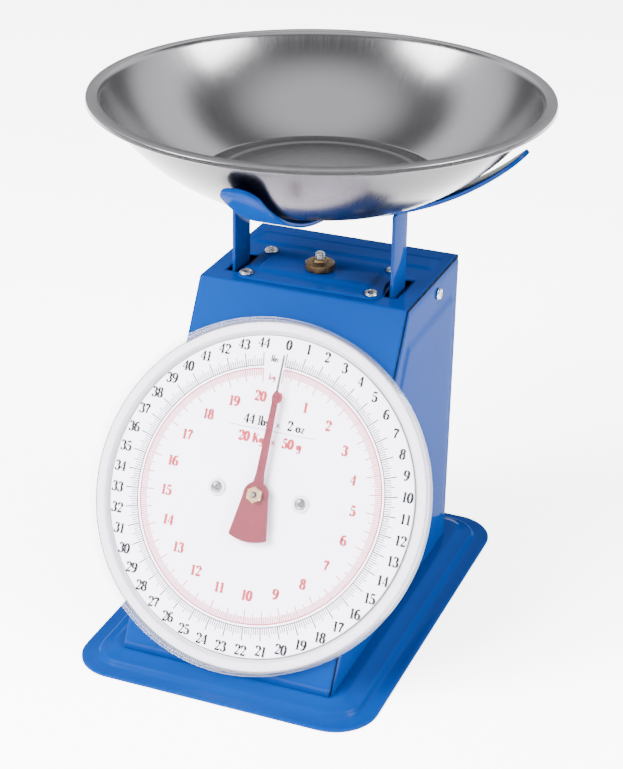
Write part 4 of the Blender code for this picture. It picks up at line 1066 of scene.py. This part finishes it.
def make_pan():
    """One sheet turned round the pan's axis: its outer line, and the same line moved in by the sheet's thickness.

    The line is a flat floor with a pressed ring, a wall whose slope grows from 26 to 60 degrees on an arc,
    a rim that rises a little outwards, and an edge that is rolled down.
    """
    outer_radius = (PAN_HIGH.x - PAN_LOW.x) / 2
    height = PAN_HIGH.z - PAN_LOW.z
    sheet = sizes().pan_sheet
    floor, rim = 0.070, 0.0078
    wall = outer_radius - rim
    slope = np.linspace(radians(26), radians(60), 60)
    across = (np.sin(slope) - np.sin(slope[0])) / (np.sin(slope[-1]) - np.sin(slope[0]))
    up = (np.cos(slope[0]) - np.cos(slope)) / (np.cos(slope[0]) - np.cos(slope[-1]))
    arc = np.column_stack([floor + across * (wall - floor), up * (height - 0.0018)])
    flat = np.column_stack([np.linspace(0, floor - 0.001, 40), np.zeros(40)])
    flat[:, 1] += 0.0004 * smoothstep(0.0585, 0.0600, flat[:, 0]) * (1 - smoothstep(0.0665, 0.0685, flat[:, 0]))
    inner_brow, outer_brow = (wall + 0.0010, height - 0.0011), (outer_radius - 0.0006, height - 0.0002)
    brow = filleted([arc[-1], inner_brow, outer_brow, (outer_radius, height - 0.0026)], (0.0008, 0.0007), 6)
    line = np.concatenate([flat, arc, brow[1:]])
    ahead = np.gradient(line, axis=0)
    ahead = ahead / np.maximum(np.linalg.norm(ahead, axis=1, keepdims=True), 1e-9)
    inner = line + np.column_stack([-ahead[:, 1], ahead[:, 0]]) * sheet
    inner[0, 0] = 0.0
    inner = np.maximum(inner, (0.0, -1.0))
    # The rolled edge turns down, so its wall is offset inwards.
    down = line[:, 0] > outer_radius - 0.0022
    lip = line[down] - 0.0007
    profile = np.concatenate([inner[~down], line[down], lip[::-1], line[~down][::-1]])
    shape = placed(band(turned(profile, 200)), Matrix.Translation((PAN_MIDDLE.x, PAN_MIDDLE.y, PAN_LOW.z)))
    piece("spun_pan", [shape], finish(spun_steel), "pan", ["pan"], 35)


# ---- Dial ----------------------------------------------------------------------------------------------
class SCALE_OT_dial(bpy.types.Operator):
    """Makes the white dish, the dial plate and its two printed scales"""

    bl_idname = "scale.dial"
    bl_label = "Dial"

    def execute(self, context):
        make_dish()
        make_gaps()
        make_print()
        return {"FINISHED"}


class SCALE_OT_pointer(bpy.types.Operator):
    """Makes the pointer with its fan tail, dark needle and brass nut"""

    bl_idname = "scale.pointer"
    bl_label = "Pointer"

    def execute(self, context):
        make_pointer()
        return {"FINISHED"}


class SCALE_OT_lens(bpy.types.Operator):
    """Makes the clear cap over the dial"""

    bl_idname = "scale.lens"
    bl_label = "Clear cap"

    def execute(self, context):
        make_lens()
        return {"FINISHED"}


def make_dish():
    """A turned dish with a rounded white rim, and the flat plate inside it."""
    dish = filleted(
        [
            (0.0066, 0.0003),
            (0.1003, 0.0003),
            (0.1003, 0.0048),
            (0.0952, 0.0048),
            (0.0940, 0.0011),
            (0.0066, 0.0011),
        ],
        (0.0003, 0.0014, 0.0014, 0.0006),
        6,
    )
    shape = placed(band(turned(dish, 160), wrap_rows=True), dial_frame())
    piece("dial_dish", [shape], finish(white_enamel), "case", ["dial_pan"], 35)
    plate = filleted([(0.0062, 0.0014), (0.0925, 0.0014), (0.0925, 0.0022), (0.0062, 0.0022)], (0.0002, 0.0003), 4)
    shape = placed(band(turned(plate, 160), wrap_rows=True), dial_frame())
    piece("dial_card", [shape], finish(dial_card), "case", ["dial_plate"], 35)


def make_gaps():
    """Thin dark rings of painted shade between the plate and the dish, and between the dish and the clear cap."""
    wide = 0.0005
    rings = []
    for r, z in ((0.0926, 0.0012), (0.1003, 0.0042)):
        section = [(r, z), (r + wide, z), (r + wide, z + wide), (r, z + wide)]
        rings.append(band(turned(section, 160), wrap_rows=True))
    piece("dial_gap_shade_rings", [placed(ring, dial_frame()) for ring in rings], finish(grey_gap), "case")


def ribbon(path, width, low, high):
    """A flat strip along a 2-D path, as a closed solid: each point moved by half the width to both sides."""
    path = np.asarray(path, float)
    ahead = np.gradient(path, axis=0)
    ahead = ahead / np.maximum(np.linalg.norm(ahead, axis=1, keepdims=True), 1e-9)
    side = np.column_stack([-ahead[:, 1], ahead[:, 0]]) * np.broadcast_to(width, len(path))[:, None] / 2
    left, right = path + side, path - side
    level = np.ones(len(path))
    corners = [
        np.column_stack([left, level * low]),
        np.column_stack([right, level * low]),
        np.column_stack([right, level * high]),
        np.column_stack([left, level * high]),
    ]
    return capped(np.stack(corners, axis=1))


def ticks(angles, start, end, width, low, high):
    """Radial strokes as closed boxes, all at once: angles run clockwise from the top of the dial."""
    out = np.column_stack([np.sin(angles), np.cos(angles)])
    side = np.column_stack([np.cos(angles), -np.sin(angles)]) * width / 2
    start, end = np.broadcast_to(start, len(angles))[:, None], np.broadcast_to(end, len(angles))[:, None]
    flat = np.stack([out * start + side, out * start - side, out * end - side, out * end + side], axis=1)
    lower = np.concatenate([flat, np.full((*flat.shape[:2], 1), low)], axis=2)
    upper = np.concatenate([flat, np.full((*flat.shape[:2], 1), high)], axis=2)
    points = np.concatenate([lower, upper], axis=1).reshape(-1, 3)
    box = np.array([(3, 2, 1, 0), (4, 5, 6, 7), (0, 1, 5, 4), (1, 2, 6, 5), (2, 3, 7, 6), (3, 0, 4, 7)])
    faces = (box[None] + 8 * np.arange(len(angles))[:, None, None]).reshape(-1, 4)
    return points, faces.tolist()


def arc_strip(radius, width, start, end, low, high, steps=360):
    """A ring sector on the dial, clockwise from start to end."""
    angle = np.linspace(start, end, steps)
    path = np.column_stack([np.sin(angle), np.cos(angle)]) * radius
    return ribbon(path, width, low, high)


def bow(x, y, wide, tall, start, end, steps=11):
    """Part of an ellipse, from one angle in degrees to another."""
    a = np.radians(np.linspace(start, end, steps))
    return np.column_stack([x + wide * np.cos(a), y + tall * np.sin(a)])


def curve(a, b, c, steps=8):
    """A quadratic curve from a to c that leans towards b."""
    t = np.linspace(0, 1, steps)[:, None]
    return (1 - t) ** 2 * np.array(a) + 2 * t * (1 - t) * np.array(b) + t**2 * np.array(c)


def bar(x0, y0, x1, y1, width):
    """A straight stroke, with its width."""
    return np.array([(x0, y0), (x1, y1)], float), width


def dot(x, y, wide, tall, width):
    """A small round end to a stroke, with its width."""
    return bow(x, y, wide, tall, 0, 360, 6), width


def glyphs():
    """Strokes of each character in a box one unit tall: (path, width or None). None means a broad-nib stroke.

    A broad-nib stroke is thin where it runs level and thick where it runs upright, as in printed serif numerals.
    """
    six = [
        (bow(0.30, 0.285, 0.21, 0.255, 0, 360, 17), None),
        (curve((0.46, 0.95), (0.07, 0.93), (0.09, 0.30), 9), None),
        dot(0.455, 0.865, 0.03, 0.03, 0.07),
    ]
    nine = [(np.array((0.60, 0.98)) - path, width) for path, width in six]
    made = {
        "0": (0.60, [(bow(0.30, 0.49, 0.21, 0.46, 90, 450, 21), None)]),
        "1": (
            0.52,
            [
                bar(0.29, 0.97, 0.29, 0.03, 0.155),
                bar(0.30, 0.95, 0.11, 0.86, 0.06),
                bar(0.10, 0.025, 0.48, 0.025, 0.05),
            ],
        ),
        "2": (
            0.60,
            [
                (bow(0.30, 0.72, 0.20, 0.235, 165, -25, 12), None),
                (curve((0.48, 0.62), (0.40, 0.36), (0.09, 0.08), 7), 0.075),
                bar(0.07, 0.075, 0.52, 0.075, 0.13),
                bar(0.52, 0.03, 0.55, 0.26, 0.05),
                dot(0.135, 0.735, 0.03, 0.035, 0.075),
            ],
        ),
        "3": (
            0.60,
            [
                (bow(0.29, 0.735, 0.175, 0.215, 150, -85, 13), None),
                (bow(0.29, 0.265, 0.215, 0.245, 85, -150, 13), None),
                dot(0.135, 0.80, 0.025, 0.03, 0.07),
                dot(0.105, 0.185, 0.03, 0.03, 0.08),
            ],
        ),
        "4": (
            0.60,
            [
                bar(0.42, 0.97, 0.42, 0.03, 0.145),
                bar(0.40, 0.95, 0.05, 0.30, 0.055),
                bar(0.03, 0.28, 0.57, 0.28, 0.06),
                bar(0.27, 0.025, 0.57, 0.025, 0.05),
            ],
        ),
        "5": (
            0.60,
            [
                bar(0.12, 0.90, 0.50, 0.90, 0.13),
                bar(0.135, 0.90, 0.12, 0.52, 0.055),
                (bow(0.27, 0.295, 0.225, 0.275, 120, -150, 14), None),
                dot(0.105, 0.175, 0.03, 0.03, 0.08),
            ],
        ),
        "6": (0.60, six),
        "7": (
            0.60,
            [
                bar(0.07, 0.88, 0.55, 0.88, 0.14),
                bar(0.08, 0.93, 0.06, 0.70, 0.05),
                (curve((0.54, 0.86), (0.28, 0.55), (0.25, 0.03), 7), 0.13),
            ],
        ),
        "8": (
            0.60,
            [
                (bow(0.30, 0.735, 0.165, 0.215, 0, 360, 15), None),
                (bow(0.30, 0.265, 0.205, 0.245, 0, 360, 17), None),
            ],
        ),
        "9": (0.60, nine),
        "l": (
            0.27,
            [
                bar(0.14, 0.98, 0.14, 0.03, 0.12),
                bar(0.03, 0.95, 0.14, 0.95, 0.05),
                bar(0.02, 0.025, 0.26, 0.025, 0.05),
            ],
        ),
        "b": (
            0.55,
            [
                bar(0.13, 0.98, 0.13, 0.03, 0.12),
                (bow(0.30, 0.27, 0.17, 0.235, 0, 360, 15), None),
                bar(0.03, 0.95, 0.13, 0.95, 0.05),
            ],
        ),
        "s": (
            0.42,
            [
                (bow(0.20, 0.395, 0.13, 0.115, 20, 265, 11), 0.085),
                (bow(0.20, 0.145, 0.135, 0.125, 95, -160, 11), 0.085),
            ],
        ),
        "k": (
            0.56,
            [
                bar(0.13, 0.98, 0.13, 0.03, 0.12),
                bar(0.15, 0.20, 0.44, 0.50, 0.05),
                bar(0.25, 0.32, 0.48, 0.03, 0.12),
                bar(0.02, 0.025, 0.24, 0.025, 0.05),
            ],
        ),
        "K": (
            0.74,
            [
                bar(0.16, 0.97, 0.16, 0.03, 0.15),
                bar(0.18, 0.40, 0.58, 0.95, 0.055),
                bar(0.31, 0.58, 0.62, 0.03, 0.15),
                bar(0.03, 0.025, 0.29, 0.025, 0.05),
                bar(0.03, 0.95, 0.29, 0.95, 0.05),
            ],
        ),
        "g": (
            0.55,
            [
                (bow(0.25, 0.32, 0.15, 0.19, 0, 360, 15), None),
                bar(0.41, 0.50, 0.41, -0.10, 0.11),
                (bow(0.25, -0.10, 0.16, 0.125, 0, -165, 9), 0.07),
            ],
        ),
        "z": (
            0.46,
            [
                bar(0.05, 0.47, 0.40, 0.47, 0.06),
                bar(0.37, 0.45, 0.09, 0.06, 0.10),
                bar(0.05, 0.04, 0.42, 0.04, 0.06),
            ],
        ),
        "o": (0.52, [(bow(0.25, 0.26, 0.175, 0.235, 0, 360, 15), None)]),
        "x": (0.52, [bar(0.06, 0.08, 0.44, 0.50, 0.055), bar(0.06, 0.50, 0.44, 0.08, 0.055)]),
        " ": (0.34, []),
    }
    return made


def lettering(text, centre, height, low, high, bold=1.5):
    """A line of characters centred on a point of the dial, built from their strokes."""
    alphabet = glyphs()
    total = sum(alphabet[character][0] for character in text)
    cursor = -total / 2
    shapes = []
    for character in text:
        width, strokes = alphabet[character]
        for path, stroke in strokes:
            if stroke is None:
                ahead = np.gradient(path, axis=0)
                upright = np.abs(ahead[:, 1]) / np.maximum(np.linalg.norm(ahead, axis=1), 1e-9)
                stroke = 0.07 + 0.11 * upright**1.6
            at = (path + (cursor, -0.49)) * height + centre
            shapes.append(ribbon(at, np.asarray(stroke) * height * bold, low, high))
        cursor += width
    return shapes


def make_print():
    """Both scales: 44 lb in eighths (2 oz) outside and 20 kg in twentieths (50 g) inside, over 350 degrees."""
    low = 0.00222
    high = low + sizes().ink
    turn = radians(350)
    pounds, kilograms = 44, 20
    pound_ring, kilogram_ring = 0.0752, 0.0734
    eighth = np.arange(pounds * 8 + 1)
    angles = eighth * turn / (pounds * 8)
    ends = np.where(eighth % 8 == 0, 0.0828, np.where(eighth % 4 == 0, 0.0810, 0.0792))
    whole = eighth % 8 == 0
    grey = [
        ticks(angles[~whole], pound_ring, ends[~whole], 0.00044, low, high),
        ticks(angles[whole], pound_ring, ends[whole], 0.00062, low, high),
        arc_strip(pound_ring, 0.00052, 0, turn, low, high),
    ]
    for pound in range(pounds + 1):
        angle = pound * turn / pounds
        spread = 0.0884 if pound else 0.0880
        centre = np.array((sin(angle), cos(angle))) * spread
        grey += lettering(str(pound), centre, sizes().numeral, low, high)
    grey += lettering("lbs", np.array((-0.0068, 0.0790)), 0.0040, low, high)
    grey += lettering("44 lbs  x  2 oz", np.array((0.0006, 0.0425)), 0.0058, low, high)
    grey.append(ribbon(np.array([(-0.0262, 0.0376), (0.0262, 0.0376)]), 0.00028, low, high))
    grey = [placed(shape, dial_frame()) for shape in grey]
    piece("print_pounds", grey, finish(grey_ink), "case")
    step = np.arange(kilograms * 20 + 1)
    angles = step * turn / (kilograms * 20)
    ends = np.select([step % 20 == 0, step % 10 == 0, step % 5 == 0], [0.0650, 0.0662, 0.0674], 0.0694)
    whole = step % 10 == 0
    red = [
        ticks(angles[~whole], kilogram_ring, ends[~whole], 0.00038, low, high),
        ticks(angles[whole], kilogram_ring, ends[whole], 0.00050, low, high),
        arc_strip(kilogram_ring, 0.00060, 0, turn, low, high),
    ]
    for kilogram in range(kilograms + 1):
        angle = kilogram * turn / kilograms
        centre = np.array((sin(angle), cos(angle))) * 0.0572
        if kilogram == kilograms:
            centre = centre + (-0.0012, 0)
        red += lettering(str(kilogram), centre, sizes().numeral, low, high, 1.7)
    red += lettering("kg", np.array((-0.0062, 0.0685)), 0.0040, low, high)
    red += lettering("20 Kg  x  50 g", np.array((0.0000, 0.0322)), 0.0058, low, high, 1.8)
    red = [placed(shape, dial_frame()) for shape in red]
    piece("print_kilograms", red, finish(red_ink), "case")
    tint = arc_strip(0.0713, 0.0040, 0, turn, 0.00221, 0.002225)
    piece("print_band", [placed(tint, dial_frame())], finish(pink_ink), "case")


def grey_ink():
    """The outer scale's ink."""
    return ink("grey_ink", tuple(colours().pounds))


def red_ink():
    """The inner scale's ink."""
    return ink("red_ink", tuple(colours().kilograms))


def pink_ink():
    """The pale band between the two scales."""
    return ink("pink_ink", (0.70, 0.54, 0.62))


def grey_gap():
    """Painted shade for the gaps round the dial plate: a soft dark grey."""
    return ink("grey_gap", (0.12, 0.12, 0.13))


def needle_paint():
    """The needle's dark paint."""
    return ink("needle_paint", (0.07, 0.065, 0.07))


def make_pointer():
    """Flat outlines with softened edges: a tapering body, a round hub, a fan tail and a dark needle."""
    hub = np.radians(np.linspace(66, -8, 9))
    right = np.column_stack([np.cos(hub), np.sin(hub)]) * 0.0079
    fan = np.radians(np.linspace(25.6, -25.6, 12))
    tail = np.column_stack([np.sin(fan), -np.cos(fan)]) * 0.0272
    knob = [(0.0007, 0.0608), (0.0018, 0.0590), (0.0024, 0.0568), (0.0021, 0.0550), (0.0018, 0.0538), (0.0025, 0.0120)]
    body_right = np.concatenate([knob, right, tail[:1]])
    left = body_right[:-1][::-1] * (-1, 1)
    outline = np.concatenate([body_right, tail[1:], left])[::-1]
    plate = placed(slab(outline, 0.0066, 0.0074, 0.00012), dial_frame())
    piece("pointer_blade", [plate], finish(pointer_paint), "pointer", ["pointer"], 30)
    needle = np.array([(-0.0007, 0.0600), (0.0007, 0.0600), (0.00055, 0.0815), (-0.00055, 0.0815)])
    tip = placed(slab(needle, 0.0067, 0.0073, 0.0001), dial_frame())
    piece("pointer_needle", [tip], finish(needle_paint), "pointer")
    make_pointer_nut()


def make_pointer_nut():
    """A hexagon nut with rounded top corners, on the end of the shaft."""
    angle = np.linspace(0, 2 * pi, 72, endpoint=False)
    flat = 0.0042 / np.cos((angle + pi / 6) % (pi / 3) - pi / 6)
    flat = np.minimum(flat, 0.00475)
    hexagon = np.column_stack([np.cos(angle), np.sin(angle)]) * flat[:, None]
    round_top = np.column_stack([np.cos(angle), np.sin(angle)])
    outlines = [round_top * 0.0016, hexagon, hexagon, round_top * 0.0041, round_top * 0.0018, round_top * 0.0016]
    shape = band(stacked(outlines, [0.0077, 0.0077, 0.0102, 0.0108, 0.0108, 0.0100]), wrap_rows=True)
    piece("pointer_hex_nut", [placed(shape, dial_frame())], finish(pale_brass), "pointer", ["pointer_nut"], 25)


def make_lens():
    """A thin shell turned round the dial's axis, with a stepped front edge and a foot on the case."""
    outer = filleted(
        [(0.0, 0.0149), (0.0955, 0.0149), (0.1012, 0.0138), (0.1025, 0.0105), (0.1025, 0.0003), (0.1011, 0.0003)],
        (0.020, 0.0030, 0.0030, 0.0003),
        10,
    )
    inner = filleted(
        [(0.1011, 0.0003), (0.1011, 0.0100), (0.1000, 0.0126), (0.0950, 0.0134), (0.0, 0.0134)],
        (0.0025, 0.0025, 0.020),
        10,
    )
    profile = np.concatenate([outer, inner[1:]])
    shape = placed(band(turned(profile, 200)), dial_frame())
    piece("clear_cap", [shape], finish(clear_cap), "case", ["lens_cap"], 35)


# ---- Works inside the case -----------------------------------------------------------------------------
class SCALE_OT_works(bpy.types.Operator):
    """Winds the two springs and gives the hidden works their metals"""

    bl_idname = "scale.works"
    bl_label = "Works"

    def execute(self, context):
        for name in ("left", "right"):
            make_spring(name)
        finish_works()
        return {"FINISHED"}


def make_spring(name):
    """A round wire carried along a path: a tail, a helix of 21 close turns, and a second tail.

    The wire's section turns with the path's own direction: centre + r (cos a S + sin a T), with S level and T across.
    """
    low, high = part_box(f"spring_{name}")
    wire, coil = 0.0011, 0.0070
    side = -1 if name == "left" else 1
    axis_x = side * 0.018
    turns, steps = 21, 24
    count = turns * steps + 1
    top, bottom = 0.160, 0.106
    a = np.linspace(0, 2 * pi * turns, count)
    helix = np.column_stack([axis_x + coil * np.cos(a), STUD.y + coil * np.sin(a), np.linspace(top, bottom, count)])
    hook, offset = 0.0043, coil * 0.7
    head = [(side * hook, high.z - wire), (0, high.z - wire), (0, top + 0.005), (offset, top + 0.002)]
    foot = [(offset, bottom - 0.002), (0, bottom - 0.005), (0, low.z + wire), (side * hook, low.z + wire)]
    head, foot = (np.array([(axis_x + x, STUD.y, z) for x, z in tail]) for tail in (head, foot))
    path = np.concatenate([head, helix, foot])
    ahead = np.gradient(path, axis=0)
    ahead /= np.linalg.norm(ahead, axis=1, keepdims=True)
    level = np.cross(ahead, (0.05, 1.0, 0.2))
    level /= np.linalg.norm(level, axis=1, keepdims=True)
    other = np.cross(ahead, level)
    around = np.linspace(0, 2 * pi, 10, endpoint=False)
    cosine, sine = np.cos(around)[None, :, None], np.sin(around)[None, :, None]
    rings = path[:, None] + wire * (cosine * level[:, None] + sine * other[:, None])
    spring = piece(f"wound_spring_{name}", [capped(rings)], finish(oiled_wire), None)
    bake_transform(spring)
    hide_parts(f"spring_{name}")


def finish_works():
    """Each hidden node keeps its solid shape and takes the metal that the real one has."""
    metals = {"zinc_steel": bright_zinc, "brass": pale_brass}
    slots = {part["node"]: part["material_slot"] for part in frame["record"]["subparts"]}
    for name, node in frame["nodes"].items():
        if slots.get(name) in metals:
            node.data.materials.clear()
            node.data.materials.append(finish(metals[slots[name]]))


# ---- Panel and registration ----------------------------------------------------------------------------
STEPS = (
    SCALE_OT_stage,
    SCALE_OT_base,
    SCALE_OT_case,
    SCALE_OT_fasteners,
    SCALE_OT_zero,
    SCALE_OT_carrier,
    SCALE_OT_pan,
    SCALE_OT_dial,
    SCALE_OT_pointer,
    SCALE_OT_lens,
    SCALE_OT_works,
)


class SCALE_PT_panel(bpy.types.Panel):
    bl_label = "Dial spring scale"
    bl_idname = "SCALE_PT_panel"
    bl_space_type = "VIEW_3D"
    bl_region_type = "UI"
    bl_category = "Scale"

    def draw(self, context):
        for group in (context.scene.scale_sizes, context.scene.scale_colours):
            for key in group.__annotations__:
                self.layout.prop(group, key)
        for step in STEPS:
            self.layout.operator(step.bl_idname)


CLASSES = (ScaleSizes, ScaleColours, *STEPS, SCALE_PT_panel)


def register():
    """Adds the panel, its steps and its values to Blender."""
    for made in CLASSES:
        bpy.utils.register_class(made)
    bpy.types.Scene.scale_sizes = bpy.props.PointerProperty(type=ScaleSizes)
    bpy.types.Scene.scale_colours = bpy.props.PointerProperty(type=ScaleColours)


def unregister():
    """Takes away what register added."""
    del bpy.types.Scene.scale_colours
    del bpy.types.Scene.scale_sizes
    for made in reversed(CLASSES):
        bpy.utils.unregister_class(made)


def main():
    """Runs every step in order."""
    register()
    for step in STEPS:
        group, call = step.bl_idname.split(".")
        getattr(getattr(bpy.ops, group), call)()


if __name__ == "__main__":
    main()
